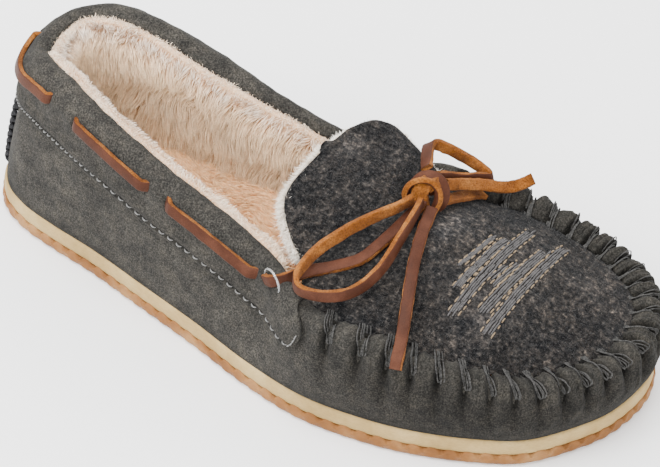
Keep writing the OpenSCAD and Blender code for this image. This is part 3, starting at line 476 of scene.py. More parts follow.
def seam_point(s, w, lift=0.0):
    """A point on the puckered band, pulled in at each stitch."""
    f, i, on = pucker(s); A = K_AMP[i] * 4.3 * (1 - .35 * ss(.5, 1.0, w))
    p = roof(s, w); n = unit(UP * 1.0 - inw(s) * (1 - np.asarray(w))[..., None] * 1.2)
    d = on * A * ((1 - np.exp(-(f / .145) ** 2)) - .62) + lift
    return p + n * d[..., None]
def toe_threads():
    L = []; g = np.random.default_rng(9)
    for k in range(SN):
        sk = S0 + STEP * k
        for j in range(6):
            off = (j - 2.5) * .026 + g.normal(0, .012)
            A = []
            A.append(wall(sk + off * .4 + .06, .90, 1.6)); A.append(wall(sk + off * .6 + .055, .935, .1 + g.normal(0, .15)))
            for w in (.0, .15, .35, .55, .75, .92): A.append(seam_point(np.array(sk + off + .05 - w * .12), np.array(w), .85 + .45 * math.sin(3.14 * w) + g.normal(0, .14)))
            A.append(crc(EDG, sk - .10 + off) + inw(sk) * 1.9 + UP * (1.6 + g.normal(0, .1))); A.append(crc(EDG, sk - .11 + off * .6) + inw(sk) * 2.9 + UP * .1)
            u = np.linspace(0, 1, 22); P = cro(np.array(A), u)
            L.append(tube_arrays(P, .25 + .05 * np.sin(u * 20 + j), 7))
    return place(join_tubes("toe_whipstitch", L, [M_tgrey]), "shoe", "grey_thread", "moc_seam_thread")
toe_threads()

# ---------------------------------------------------------------- collar
VIS = [[22.25,23.45],[23.95,25.35],[25.8,27.4],[29.35,32.35],[33.35,34.95],[35.4,36.85]]
def shown(s):
    s = np.asarray(s, float)
    return np.max([ss(a - .14, a + .06, s) * (1 - ss(b - .06, b + .14, s)) for a, b in VIS], 0)
def prof_at(s, t, d=0.0):
    """Collar surface at station s and profile position t in 0..9."""
    C = colr(s, d); t = np.asarray(t, float); i = np.clip(np.floor(t).astype(int), 0, 8); f = (t - i)[..., None]
    E = np.concatenate([2 * C[..., :1, :] - C[..., 1:2, :], C, 2 * C[..., -1:, :] - C[..., -2:-1, :]], -2)
    tk = lambda k: np.take_along_axis(E, (i + k)[..., None, None] * np.ones((1, 3), int), -2)[..., 0, :]
    return cr4(tk(0), tk(1), tk(2), tk(3), f)
def LT(s):
    """Height of the thong on the collar profile; it runs lower on the medial side."""
    return 3.62 - 1.5 * (1 - ss(27.7, 28.7, s))
T_END = np.array([0, 1.2, 2.6, 3.6, 4.4, 5.5, 9.0]); S_END = np.array([7.80, 7.93, 8.0, 7.95, 7.86, 7.80, 7.80])
def collar():
    n, m = 1100, 64; x = np.linspace(0, 1, n)[:, None]; t = np.linspace(0, 9, m)[None]
    se = 30 + np.interp(t, T_END, S_END); sb = 21.35 - (np.interp(t, T_END, S_END) - 7.7) * .9
    s = sb + (se - sb) * x; s, tt = np.broadcast_arrays(s, t)
    O = prof_at(s, tt); I = prof_at(s[:, ::3], tt[:, ::3], CT)
    N = grid_normals(O); N = -N if (N[:, 10] * inw(s[:, 10])).sum() > 0 else N
    d = (snoise(O, 30, 11) * .4 + snoise(O, 11, 12) * .2 + snoise(O, 4, 13) * .07)
    d = d * ss(0, .6, tt)
    # a slit dimples the suede where the thong goes in, and the band puffs between
    for a, b in VIS:
        for r in (a - .04, b + .04): d = d - 1.25 * np.exp(-((s - r) / .075) ** 2) * np.exp(-((tt - LT(s)) / .62) ** 2)
    d = d + .75 * (1 - shown(s)) * np.exp(-((tt - LT(s)) / .9) ** 2) * ss(21.6, 22, s) * (1 - ss(37.2, 37.5, s))
    d = d - .55 * np.exp(-((tt - .42) / .22) ** 2)   # groove along the stitching
    O = O + N * d[..., None]
    P = np.concatenate([O, I[:, ::-1]], 1)
    V = P.reshape(-1, 3); nv = P.shape[1]; F = grid_faces(n, nv, False, True)
    # close the two front ends with a strip
    o = np.arange(m); mi_ = I.shape[1]; Fe = []
    for r, rev in ((0, 0), (n - 1, 1)):
        for k in range(mi_ - 1):
            a = [min(3 * k + q, m - 1) for q in range(4)]; b0 = nv - 1 - k; b1 = nv - 2 - k
            for q in range(3):
                if a[q] != a[q + 1]: Fe.append([r * nv + a[q], r * nv + a[q + 1], r * nv + b0][::(-1 if rev else 1)])
            Fe.append([r * nv + a[3], r * nv + b1, r * nv + b0][::(-1 if rev else 1)])
    tri = np.vstack([F[:, [0, 1, 2]], F[:, [0, 2, 3]]]); a, b, c = V[tri[:, 0]], V[tri[:, 1]], V[tri[:, 2]]
    if (a * np.cross(b, c)).sum() < 0: tri = tri[:, ::-1]
    tri = np.vstack([tri, np.array(Fe)])
    # painted shade: the collar's tint is darkened along the stitching groove, and the inner face gets a tint of 0.8 as
    # shade inside the collar
    collar_painted_shade = 1 - .35 * np.exp(-((tt - .42) / .3) ** 2); collar_painted_shade = np.concatenate([collar_painted_shade, np.full((n, mi_), .8)], 1).reshape(-1, 1) * np.ones((1, 3))
    place(mesh_np("suede_collar", V, tri, [M_collar], collar_painted_shade), "shoe", "collar_suede", "collar")
    # stitching along the lower edge and up the near front end
    L = []; g = np.random.default_rng(3); ns = 108
    for k in range(ns):
        sa = 21.42 + k * (37.74 - 21.42) / (ns - 1)
        q = np.array([sa - .045, sa - .02, sa + .02, sa + .045]); q = q + g.normal(0, .003)
        C = prof_at(q, np.full(4, .42)); nn = inw(q); P = C - nn * (np.array([-.15, .42, .42, -.15]) - .55 + .15)[:, None]
        L.append(tube_arrays(cro(P, np.linspace(0, 1, 7)), [.14, .24, .27, .28, .27, .24, .14], 7))
    for t0 in (.85, 1.35, 1.85, 2.35):
        tq = t0 + np.array([-.17, -.08, .08, .17]); sq = 30 + np.interp(tq, T_END, S_END) - .055; P = prof_at(sq, tq) - inw(sq) * np.array([-.1, .5, .5, -.1])[:, None]
        L.append(tube_arrays(cro(P, np.linspace(0, 1, 7)), [.14, .24, .27, .28, .27, .24, .14], 7))
    place(join_tubes("collar_stitches", L, [M_tlight]), "shoe", "light_thread", "collar_stitching")
collar()
def lace_run():
    s = np.linspace(21.6, 37.3, 420); q = colr(s); p = prof_at(s, LT(s)); k = shown(s)[:, None]
    P = p + inw(s) * (-1.05 * k + 2.6 * (1 - k))
    o = ribbon("thong_in_collar", P, unit(q[:, 4] - q[:, 3]), 4.4, 2.0, LACE, False, .1, 31)
    # the smooth face looks outwards
    return o
o = lace_run(); 
place(o, "shoe", "lace_leather", "lace_collar_run")

def heel_braid():
    L = []
    for k in range(11):
        v = .03 + k * .064; sg = 1
        for j in (-1, 1):
            A = [wall(.08 + j * -.11, v - .012, .3), wall(.08 + j * -.085, v, -.9), wall(.08, v + .022, -1.7), wall(.08 + j * .085, v + .045, -.9), wall(.08 + j * .11, v + .055, .3)]
            u = np.linspace(0, 1, 14); L.append(tube_arrays(cro(np.array(A), u), .85 - .2 * np.abs(u - .5), 8))
    return place(join_tubes("heel_braid", L, [M_tdark]), "shoe", "dark_thread", "heel_seam_thread")
heel_braid()

# ---------------------------------------------------------------- pile
def swirl(P, sc, seed):
    return np.stack([snoise(P, sc, seed), snoise(P, sc, seed + 50), snoise(P, sc, seed + 90)], -1)
def clump(R, D, flow, L, nc, seed, pull=.7):
    """Fibres bend towards the tip of their nearest tuft."""
    g = np.random.default_rng(seed); c = g.choice(len(R), nc, replace=False); kd = kdtree.KDTree(nc)
    for j, i in enumerate(c): kd.insert(R[i], j)
    kd.balance(); near = np.array([kd.find(r)[1] for r in R]); ci = c[near]
    tip = R[ci] + D[ci] * (L[ci] * .65)[:, None] + flow[ci] * L[ci][:, None]
    own = R + D * (L * .65)[:, None] + flow * L[:, None]
    return flow + (tip - own) * pull / L[:, None], near
def quarter_pile():
    # ground cloth of the lining
    n = 420; s = np.linspace(22.1, 37.1, n)[:, None]; v = np.linspace(0, 1, 34)[None]
    O = lin(s, np.linspace(0, 1, 12)[None]); th = (LIN - 1.0) * np.where(v > .93, 1 - (v - .93) / .07 * .55, 1) + 0 * s
    I = lin(s, v, th); I = I + unit(inw(s)) * (snoise(I, 16, 21) * .7 + snoise(I, 6, 22) * .35)[..., None] * (1 - ss(.9, 1, v))[..., None]
    P = np.concatenate([O, I[:, ::-1]], 1); V = P.reshape(-1, 3); nv = P.shape[1]
    F = grid_faces(n, nv, False, True); tri = np.vstack([F[:, [0, 1, 2]], F[:, [0, 2, 3]]])
    e = []
    for r in (0, n - 1):
        c = [r * nv + k for k in range(nv)]
        e += [[c[0], c[k], c[k + 1]][::(1 if r else -1)] for k in range(1, nv - 1)]
    tri = np.vstack([tri, e]); a, b, c = V[tri[:, 0]], V[tri[:, 1]], V[tri[:, 2]]
    if (a * np.cross(b, c)).sum() < 0: tri = tri[:, ::-1]
    g_ = mesh_np("pile_quarter_ground", V, tri, [M_pile]); place(g_, "shoe", "pile", "quarter_lining")
    # fibres
    g = np.random.default_rng(41); N = 88000
    s = g.uniform(22.1, 37.1, N); v = g.uniform(.04, 1.0, N) ** .9; th = (LIN - 1.1) * np.where(v > .93, 1 - (v - .93) / .07 * .55, 1)
    R = lin(s, v, th); nn = inw(s); dv = unit(lin(s, np.minimum(v + .02, 1)) - lin(s, v - .02)); ds = unit(lin(s + .02, v) - lin(s - .02, v))
    sw = swirl(R, 34, 60) * .55 + swirl(R, 12, 61) * .35
    L = g.uniform(6.5, 10.5, N) * (1 - .45 * ss(.9, 1, v))
    D = unit(nn * .75 + ds * .25 * sw[:, :1] + UP * .1 * ss(.9, 1, v)[:, None] + g.normal(0, .16, (N, 3)))
    fl = -dv * (.62 - .35 * ss(.88, 1, v))[:, None] + ds * sw[:, :1] * .55 + UP * (.25 * ss(.92, 1, v))[:, None] + sw * .22
    fl, near = clump(R, D, fl, L, 1900, 5, .42)
    patch = 1 + .10 * snoise(R, 26, 71) + .07 * snoise(R, 8, 72)
    warm = ss(.55, .05, v)[:, None]
    c0 = np.array([.70, .44, .24]); c1 = np.array([.98, .76, .51]) * (1 - warm * np.array([.02, .08, .16]))
    white = ss(.90, 1.0, v)[:, None]; c1 = c1 * (1 - white) + np.array([.86, .80, .72]) * white
    o = blades("pile_quarter_fibres", R, D, fl, L, g.uniform(.20, .42, N), c0, c1, M_fur, 3, 6, patch)
    place(o, "shoe", "pile")
    # the rim: fibres stand up over the lip and lean out over the suede here and there
    N = 26000; s = g.uniform(22.0, 37.25, N); v = g.uniform(.93, 1.0, N); R = lin(s, v, g.uniform(-.3, LIN * .5, N)); R[:, 2] += .15
    nn = inw(s); ds = unit(lin(s + .02, v) - lin(s - .02, v)); sw = swirl(R, 14, 65)
    D = unit(UP * .9 + nn * (.15 + .35 * sw[:, :1]) + ds * .3 * sw[:, 1:2] + g.normal(0, .25, (N, 3))); L = g.uniform(2.4, 4.6, N) * (1 + .3 * snoise(R, 9, 66))
    fl = nn * (.1 + .55 * snoise(R, 20, 67)[:, None]) + ds * sw[:, :1] * .4 - UP * .35
    o = blades("pile_rim_fibres", R, D, fl, L, g.uniform(.16, .32, N), (.80, .58, .38), (.97, .87, .73), M_fur, 3, 9)
    place(o, "shoe", "pile")
quarter_pile()
def footbed():
    n, m = 240, 60; t = np.linspace(.006, .994, n)[:, None]; q = np.linspace(0, 1, m)[None]
    a = foot(15 * t, np.full(t.shape, 12.0), 0.)[..., :]; b = foot(30 - 15 * t, np.full(t.shape, 12.0), 0.)
    XY = a * (1 - q[..., None]) + b * q[..., None]
    edge = 1 - np.abs(2 * q - 1) ** 6
    z = ZF + 3.6 + .9 * (1 - edge) + 0 * t; top = XY.copy(); top[..., 2] = z; top[..., 2] += snoise(top, 40, 31) * .5 + snoise(top, 9, 32) * .25
    bot = XY[:, ::6].copy(); bot[..., 2] = ZF + .1
    P = np.concatenate([top, bot[:, ::-1]], 1); V = P.reshape(-1, 3); nv = P.shape[1]; F = grid_faces(n, nv, False, True); tri = np.vstack([F[:, [0, 1, 2]], F[:, [0, 2, 3]]])
    e = []
    for r in (0, n - 1):
        c = [r * nv + k for k in range(nv)]; e += [[c[0], c[k], c[k + 1]][::(1 if r else -1)] for k in range(1, nv - 1)]
    tri = np.vstack([tri, e]); A, B, C = V[tri[:, 0]], V[tri[:, 1]], V[tri[:, 2]]
    if (A * np.cross(B, C)).sum() < 0: tri = tri[:, ::-1]
    place(mesh_np("pile_footbed_ground", V, tri, [M_bed]), "shoe", "footbed_pile", "footbed_pile")
    g = np.random.default_rng(43); N = 60000; t = g.uniform(.02, .98, N); q = g.uniform(.0, 1, N)
    a = foot(15 * t, np.full(N, 12.0), 0.); b = foot(30 - 15 * t, np.full(N, 12.0), 0.); R = a * (1 - q[:, None]) + b * q[:, None]; R[:, 2] = ZF + 3.7 + .9 * np.abs(2 * q - 1) ** 6
    R[:, 2] += snoise(R * [1, 1, 0] + [0, 0, 22.6], 40, 31) * .5
    sw = swirl(R, 38, 80) * .7 + swirl(R, 11, 81) * .35; sw[:, 2] = 0
    L = g.uniform(3.0, 5.5, N); D = unit(UP * .38 + sw * .6 + np.array([.1, .55, 0]) + g.normal(0, .2, (N, 3))); fl = sw * .3 + np.array([0, .2, -.15])
    fl, near = clump(R, D, fl, L, 1400, 6, .45)
    patch = 1 + .10 * snoise(R, 30, 91) + .06 * snoise(R, 8, 92)
    o = blades("pile_footbed_fibres", R, D, fl, L, g.uniform(.24, .45, N), (.86, .48, .22), (1.0, .67, .37), M_fur, 2, 8, patch)
    place(o, "shoe", "footbed_pile")
footbed()

# ---------------------------------------------------------------- plug and tongue: one piece of wool over pile
PLG = np.array([[7.55,21.35,9.5],[8,20.95,11],[8.6,20.6,12],[9.3,20.2,12],[10,19.8,11],[11,19,9.5],[12,18,7.5],[13,17,5],[14,16,2.4],[14.85,15.15,.3]])
TGN = np.array([[-26,-9.5,52.6],[-21,-1.5,56.6],[-12,6,62],[-4,7.2,65],[8,4.5,68],[17,1.8,69.4]]); TGF = np.array([[35.2,-39.4,52.6],[39,-26,59],[41,-16.5,64],[39.8,-10.5,66.6],[35,-5.5,68.8],[27,-1,69.6]]); TGH = np.array([8,7,3.8,2,.8,.1])
def plz(u, q, grow=0.0):
    u, q = np.broadcast_arrays(np.asarray(u, float), np.asarray(q, float)); r = cro(PLG, u); w = (1 - ss(0, .16, u))[..., None]
    a = crc(EDG, r[..., 0]) + inw(r[..., 0]) * (.9 + 3.2 * w - grow); b = crc(EDG, r[..., 1]) + inw(r[..., 1]) * (.9 + 1.2 * w - grow); q1 = q[..., None]
    return a * (1 - q1) + b * q1 + UP * (r[..., 2:3] * (1 - np.abs(2 * q1 - 1) ** 2.3) + .4)
def tg(u, q):
    u, q = np.broadcast_arrays(np.asarray(u, float), np.asarray(q, float)); q1 = q[..., None]
    return cro(TGN, u) * (1 - q1) + cro(TGF, u) * q1 + UP * (cro(TGH, u)[..., None] * (1 - np.abs(2 * q1 - 1) ** 2.2))
def plz_fit(u, q):
    """The plug's wool, its edge tucked against the suede band from just behind the throat."""
    u, q = np.broadcast_arrays(np.asarray(u, float), np.asarray(q, float)); r = cro(PLG, u); w = (1 - ss(0, .16, u))[..., None]; k = ss(0, .055, u)[..., None]
    a = crc(EDG, r[..., 0]) + inw(r[..., 0]) * ((.4 + 3.2 * w) * (1 - k) + .1 * k); b = crc(EDG, r[..., 1]) + inw(r[..., 1]) * ((.4 + 1.2 * w) * (1 - k) + .1 * k); q1 = q[..., None]
    return a * (1 - q1) + b * q1 + UP * (r[..., 2:3] * (1 - np.abs(2 * q1 - 1) ** 2.3) + .4)
def top_rows(nu=150, nt=90, nq=110):
    q = np.linspace(0, 1, nq)[None]; A = plz_fit(np.linspace(1, 0, nu)[:, None], q); B = tg(np.linspace(.0, 1, nt)[:, None] ** .9, q)
    P = np.concatenate([A, B[3:]], 0); k = len(A)
    for _ in range(14):
        Q = P.copy(); Q[1:-1] = (P[:-2] + 2 * P[1:-1] + P[2:]) / 4; w = np.exp(-((np.arange(len(P)) - k) / 9.0) ** 2)[:, None, None]; P = P * (1 - w) + Q * w
    return P, k
AX = unit(np.array([.901, -.434, 0])); PERP = np.array([.434, .901, 0]); PERP = PERP / np.linalg.norm(PERP)
def sheet_solid(name, P, th, mat, col=None):
    n, m = P.shape[:2]; N = grid_normals(P); N = N if N[..., 2].mean() > 0 else -N
    Lo = P - N * th; V = np.vstack([P.reshape(-1, 3), Lo.reshape(-1, 3)]); F = grid_faces(n, m); k = n * m
    T = np.vstack([F[:, [0, 1, 2]], F[:, [0, 2, 3]]]); D = T[:, ::-1] + k
    b = np.concatenate([np.arange(m), np.arange(1, n) * m + m - 1, (n - 1) * m + np.arange(m - 2, -1, -1), np.arange(n - 2, 0, -1) * m]); b2 = np.roll(b, -1)
    S = np.vstack([np.stack([b, b + k, b2], -1), np.stack([b2, b + k, b2 + k], -1)])
    a, c, d = V[T[:, 0]], V[T[:, 1]], V[T[:, 2]]
    up = np.cross(c - a, d - a)[:, 2].sum() > 0
    if not up: T = T[:, ::-1]; D = D[:, ::-1]
    tri = np.vstack([T, D, S if up else S[:, ::-1]]); a, c, d = V[tri[:, 0]], V[tri[:, 1]], V[tri[:, 2]]
    return mesh_np(name, V, tri, [mat], col), N
def wool_top():
    P, k = top_rows(); P = P + UP * (snoise(P, 26, 51) * .35 + snoise(P, 8, 52) * .14)[..., None]
    # the boundary turns down into the seam
    q = np.linspace(0, 1, P.shape[1]); e = np.exp(-(np.minimum(q, 1 - q) / .018) ** 2); w = np.r_[np.ones(k), np.linspace(1, 0, len(P) - k)] ** 2
    P[..., 2] -= (w[:, None] * e[None]) * .9
    uu = np.r_[np.linspace(1, 0, k), -np.linspace(0, 1, len(P) - k)][:, None]; qq = q[None]
    blot = np.exp(-((uu - .21) / .085) ** 2) * np.exp(-((qq - .66) / .16) ** 2) + .5 * np.exp(-((uu + .5) / .2) ** 2) * np.exp(-((qq - .62) / .12) ** 2) + .4 * np.exp(-((uu - .52) / .05) ** 2) * np.exp(-((qq - .5) / .3) ** 2)
    tn = (1 + 1.9 * np.clip(blot * (1 + .5 * snoise(P, 9, 55)), 0, 1.2)) * (1 + .22 * snoise(P, 20, 56)); tn = np.concatenate([tn.ravel(), np.ones(tn.size)])[:, None] * np.ones((1, 3))
    ob, N = sheet_solid("wool_plug_and_tongue", P, WOOL, M_wool, tn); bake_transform(ob)
    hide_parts("plug", "tongue")
    # short loose fibres of the fulled wool
    g = np.random.default_rng(77); n, m = P.shape[:2]; A = 52000; i = g.integers(0, n - 1, A); j = g.integers(0, m - 1, A)
    area = np.linalg.norm(np.cross(P[1:, :-1] - P[:-1, :-1], P[:-1, 1:] - P[:-1, :-1]), axis=-1); pr = (area / area.sum()).ravel(); id_ = g.choice(len(pr), A, p=pr); i, j = id_ // (m - 1), id_ % (m - 1)
    a, b = g.uniform(0, 1, (A, 1)), g.uniform(0, 1, (A, 1)); R = P[i, j] * (1 - a) * (1 - b) + P[i + 1, j] * a * (1 - b) + P[i, j + 1] * (1 - a) * b + P[i + 1, j + 1] * a * b
    nn = N[i, j]; D = unit(nn * .35 + g.normal(0, .6, (A, 3)) * [1, 1, .35]); L = g.uniform(.9, 2.2, A)
    light = g.random(A); cr = np.where(light[:, None] > .93, np.array([.11, .105, .098]), np.where(light[:, None] > .5, np.array([.04, .04, .041]), np.array([.012, .0125, .014])))
    o = blades("wool_loose_fibres", R - nn * .15, D, g.normal(0, .25, (A, 3)), L, .13, cr * .8, cr, M_fuzz, 2, 12)
    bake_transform(o)
    return P, k
WP, WK = wool_top()
def tongue_pile():
    u = np.linspace(.03, .985, 70)[:, None]; q = np.linspace(.012, .988, 70)[None]; P = tg(u, q) - UP * (WOOL + .15)
    ob, N = sheet_solid("pile_under_tongue", P, 2.6, M_pile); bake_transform(ob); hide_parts("tongue_lining")
    g = np.random.default_rng(90); A = 15000
    # under face, and a fringe all round the free edge
    uu = g.uniform(.03, 1, A); qq = g.uniform(0, 1, A); R = tg(uu, qq) - UP * (WOOL + 2.3); D = unit(-UP * .8 + g.normal(0, .35, (A, 3))); L = g.uniform(3, 5, A); fl = g.normal(0, .25, (A, 3)) + PERP * .3
    B = 15000; t = g.uniform(0, 1, B); side = g.choice(3, B, p=[.5, .2, .3]); ue = np.where(side == 2, .985, .08 + .9 * t); qe = np.where(side == 0, .012, np.where(side == 1, .988, t))
    c = tg(np.full(1, .45), np.full(1, .5))[0]; R2 = tg(ue, qe) - UP * g.uniform(WOOL * .8, WOOL + 2.4, (B, 1)); D2 = unit((R2 - c) * [1, 1, .3]) ; D2 = unit(D2 + g.normal(0, .3, (B, 3)) - UP * .05); L2 = np.where(side == 0, g.uniform(3.2, 5.6, B), g.uniform(2.0, 3.8, B))
    o = blades("pile_tongue_fibres", np.vstack([R, R2]), np.vstack([D, D2]), np.vstack([fl, g.normal(0, .2, (B, 3))]), np.r_[L, L2], .42, (.80, .68, .54), (.97, .92, .84), M_fur, 2, 14)
    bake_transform(o)
tongue_pile()
def inner_pile():
    u = np.linspace(.02, .9, 90)[:, None]; r = plz(u, np.array([[0.0]])), plz(u, np.array([[1.0]])); wd = np.linalg.norm(r[1] - r[0], axis=-1); e = np.minimum(4.2 / wd, .4)
    q = e + (1 - 2 * e) * np.linspace(0, 1, 60)[None]; P = plz(u, q) - UP * (WOOL + .3)
    ob, N = sheet_solid("pile_under_plug", P, 3.0, M_pile); place(ob, "shoe", "pile", "plug_lining")
    g = np.random.default_rng(92); A = 12000; i = g.integers(0, 90, A); j = g.integers(0, 60, A); R = P[i, j] - UP * 2.9 + g.normal(0, .6, (A, 3)) * [1, 1, 0]
    o = blades("pile_plug_fibres", R, unit(-UP + g.normal(0, .3, (A, 3))), g.normal(0, .3, (A, 3)) + [0, .4, 0], g.uniform(3, 5, A), .5, (.5, .36, .24), (.8, .66, .5), M_fur, 2, 15); place(o, "shoe", "pile")
    n = 260; s = np.linspace(8.2, 21.2, n)[:, None]; e_ = crc(SHO, s)[..., 2]; v0 = vz(s, ZF + .2); vt = vz(s, e_ - 9); vv = np.linspace(0, 1, 18)[None]
    O = wall(s, v0 + (vt - v0) * vv[:, ::3] , SUEDE + .4); I = wall(s, v0 + (vt - v0) * vv, SUEDE + 3.8); I = I + inw(s) * (snoise(I, 12, 33) * .5)[..., None]
    P = np.concatenate([O, I[:, ::-1]], 1); V = P.reshape(-1, 3); nv = P.shape[1]; F = grid_faces(n, nv, False, True); tri = np.vstack([F[:, [0, 1, 2]], F[:, [0, 2, 3]]]); ee = []
    for r_ in (0, n - 1):
        c = [r_ * nv + k for k in range(nv)]; ee += [[c[0], c[k], c[k + 1]][::(1 if r_ else -1)] for k in range(1, nv - 1)]
    tri = np.vstack([tri, ee]); a, b, c = V[tri[:, 0]], V[tri[:, 1]], V[tri[:, 2]]
    if (a * np.cross(b, c)).sum() < 0: tri = tri[:, ::-1]
    place(mesh_np("pile_vamp", V, tri, [M_pile]), "shoe", "pile", "vamp_lining")
    A = 14000; s = g.uniform(8.2, 21.2, A); e_ = crc(SHO, s)[:, 2]; v0 = vz(s, ZF + .2); vt = vz(s, e_ - 9); R = wall(s, v0 + (vt - v0) * g.uniform(0, 1, A), SUEDE + 3.7)
    o = blades("pile_vamp_fibres", R, unit(inw(s) + g.normal(0, .3, (A, 3))), g.normal(0, .3, (A, 3)), g.uniform(3, 5, A), .5, (.5, .36, .24), (.8, .66, .5), M_fur, 2, 16); place(o, "shoe", "pile")
inner_pile()

# ---------------------------------------------------------------- stripes on the plug
def stripes():
    L1, L2 = [], []; g = np.random.default_rng(15)
    # u0, q0, u1, q1, number of yarns across
    BARS = [(.39, .42, .43, .68, 5), (.425, .30, .465, .70, 6), (.455, .18, .50, .86, 6), (.49, .44, .505, .56, 4),
            (.51, .23, .56, .77, 6), (.54, .14, .595, .87, 6), (.50, .38, .525, .61, 4)]
    for bi, (u0, q0, u1, q1, m) in enumerate(BARS):
        for k in range(m):
            light = k in (0, m - 1); du = (k - (m - 1) / 2) * .0058; qa = q0 + g.uniform(-.012, .03); qb = q1 + g.uniform(-.03, .012); x = qa
            while x < qb:
                w = g.uniform(.020, .034) if light else g.uniform(.05, .09); y = min(x + w, qb); t = np.linspace(0, 1, 5 if light else 9)
                q = x + (y - x) * t; u = u0 + (u1 - u0) * (q - q0) / (q1 - q0) + du + g.normal(0, .0007); P = plz(u, q)
                P = P + UP * (.22 + .16 * np.sin(math.pi * t) + g.uniform(-.08, .08) + snoise(P, 26, 51) * .35)[:, None]
                r = (.33 if light else .40) * (.45 + .55 * np.sin(math.pi * np.clip(t, .08, .92)) ** .5)
                (L1 if light else L2).append(tube_arrays(P, r, 6)); x = y + (g.uniform(.008, .022) if light else g.uniform(-.004, .006))
    place(join_tubes("stripe_yarn_light", L1, [M_yarn]), "shoe", "stripe_yarn", "plug_stripes"); place(join_tubes("stripe_yarn_dark", L2, [M_yarng]), "shoe", "stripe_yarn")
stripes()

# ---------------------------------------------------------------- knot and crossings
KC = np.array([15.8, -37.3, 64.8]); KR = np.array([.375, -.927, 0]); KU = np.array([.667, .27, .695]); KB = np.array([-.644, -.26, .719])
def kp(L): return np.array([KC + KR * a + KU * b + KB * c for a, b, c in L])
def knot():
    u = np.linspace(0, 1, 60)
    P = cro(kp([(-5.6,-5.2,.5),(-6.9,-1.6,1.8),(-5.6,1.6,3.0),(-2,3.4,3.8),(1.8,3.0,4.0),(4.4,.4,3.6),(5.0,-3.2,2.6),(3.6,-6.6,1.0),(1.6,-7.4,-1.0)]), u)
    r1 = ribbon("knot_turn_front", P, cro([list(KB + KR * x) for x in (-.5,-.3,-.1,0,.1,.3,.4,.4,.2)], u), 3.9, 2.3, LACE, False, .12, 41)
    P = cro(kp([(-4.0,2.0,-1.5),(-1.5,4.6,.2),(2.0,5.2,1.0),(5.2,3.6,1.4),(6.9,.2,1.4),(6.6,-3.6,.6),(4.6,-6.0,-1.0)]), u)
    r2 = ribbon("knot_turn_back", P, cro([list(KR * a + KU * b + KB * c) for a, b, c in ((.3,-1,.6),(.1,-1,.7),(-.3,-1,.6),(-.8,-.7,.5),(-1,0,.5),(-.9,.5,.5),(-.6,.8,.4))], u), 4.2, 2.1, LACE, True, .12, 42)
    P = cro(kp([(-1,-5.5,-1.6),(-2,-1,1.2),(0,1.8,1.8),(3,2.2,.6),(4.5,.5,-1.5)]), u)
    r3 = ribbon("knot_turn_core", P, cro([list(KR)] * 5, u), 6.2, 4.4, LACE, False, .12, 43)
    place(r1, "shoe", "lace_leather", "lace_knot"); place(r2, "shoe", "lace_leather"); place(r3, "shoe", "lace_leather")
knot()
LFN = [[-38.2,.8,50.6],[-40.2,-2.6,53.2],[-38.4,-7.6,55.4],[-32.4,-13,55.8],[-27.6,-20.8,57.4],[-22,-28.6,59.8],[-13.6,-32.4,61.2],[-3,-35.2,61.9],[8.4,-37.6,62.3],[12,-38,62.6]]
LFNW = [[.2,.6,.8],[.2,.5,.8],[0,.5,.7],[.3,.8,.4],[.5,.8,.1],[.4,.8,0],[.2,.9,0],[0,1,0],[0,1,0],[0,1,0]]
LFF = [[16,-42.5,61.6],[17.8,-44.4,61],[22.3,-46,58.8],[28.4,-48,55.2],[34.6,-50.2,51.6],[38.5,-51.8,48.4]]
LFFW = [[.4,.9,0],[.4,.9,0],[.3,.9,.1],[.2,.9,.2],[.2,.9,.2],[.2,.9,.2]]
A, B, _ = even(LFN, LFNW, 90); place(ribbon("thong_cross_near", A, B, 4.4, 2.1, LACE, False, .1, 51), "shoe", "lace_leather", "lace_front_near")
A, B, _ = even(LFF, LFFW, 50); place(ribbon("thong_cross_far", A, B, 4.4, 2.1, LACE, True, .1, 52), "shoe", "lace_leather", "lace_front_far")

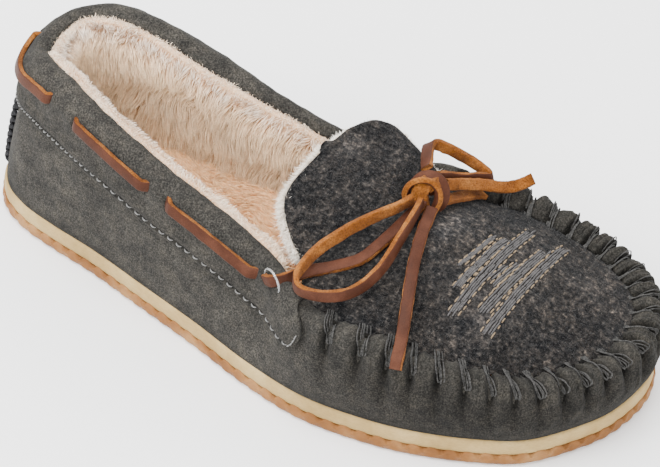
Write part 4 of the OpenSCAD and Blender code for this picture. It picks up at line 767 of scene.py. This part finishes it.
# ---------------------------------------------------------------- CAD nodes that stay
def paint(node, mat):
    o = NODES[node]
    for k in range(max(1, len(o.material_slots))):
        if len(o.material_slots) == 0: break
        o.material_slots[k].material = mat
m, nt, b = new_mat("clear_filament", .12, 0, .5)
b.inputs["Transmission Weight"].default_value = .85; b.inputs["IOR"].default_value = 1.45
n_ = noise(nt, 900, 2, .5); r_ = ramp(nt, n_.outputs["Fac"], [(.3, (.78, .80, .80)), (.7, (.92, .93, .93))]); nt.links.new(r_.outputs["Color"], b.inputs["Base Color"]); bump(nt, b, [(n_.outputs["Fac"], .1, .0001)])
paint("filament_ring", m)
M_board = pile_mat("fibre_board", (.22, .15, .10), (.32, .23, .15), (.42, .32, .22), 120); M_foam = pile_mat("open_foam", (.66, .62, .52), (.76, .73, .63), (.84, .82, .73), 260)
for nd in ("insole_board", "heel_counter"): paint(nd, M_board)
for nd in ("footbed_foam", "collar_foam"): paint(nd, M_foam)

# ---------------------------------------------------------------- stage
def stage():
    me = bpy.data.meshes.new("floor"); me.from_pydata([(-6, -6, 0), (6, -6, 0), (6, 6, 0), (-6, 6, 0)], [], [(0, 1, 2, 3)]); fl = bpy.data.objects.new("floor", me); bpy.context.scene.collection.objects.link(fl)
    m = bpy.data.materials.new("floor_pale"); m.use_nodes = True; b = m.node_tree.nodes["Principled BSDF"]; b.inputs["Base Color"].default_value = (.93, .93, .93, 1); b.inputs["Roughness"].default_value = .95; b.inputs["Specular IOR Level"].default_value = .1
    me.materials.append(m)
    w = bpy.data.worlds.new("studio"); bpy.context.scene.world = w; w.use_nodes = True; w.node_tree.nodes["Background"].inputs["Color"].default_value = (1, 1, 1, 1); w.node_tree.nodes["Background"].inputs["Strength"].default_value = 1.9
    def area(name, loc, tgt, size, power):
        l = bpy.data.lights.new(name, "AREA"); l.shape = "RECTANGLE"; l.size = size[0]; l.size_y = size[1]; l.energy = power; o = bpy.data.objects.new(name, l); bpy.context.scene.collection.objects.link(o)
        o.location = loc; o.rotation_euler = (Vector(tgt) - Vector(loc)).to_track_quat("-Z", "Y").to_euler()
    area("key", (-.55, .75, .85), (0, 0, .03), (.7, .7), 17)
    area("fill", (-.9, -.7, .8), (0, 0, .03), (.9, .9), 9)
    area("rim", (.8, .2, .7), (0, 0, .04), (.6, .6), 6)
    area("top", (-.15, .1, 1.1), (.005, .05, .03), (.5, .5), 14)
stage()
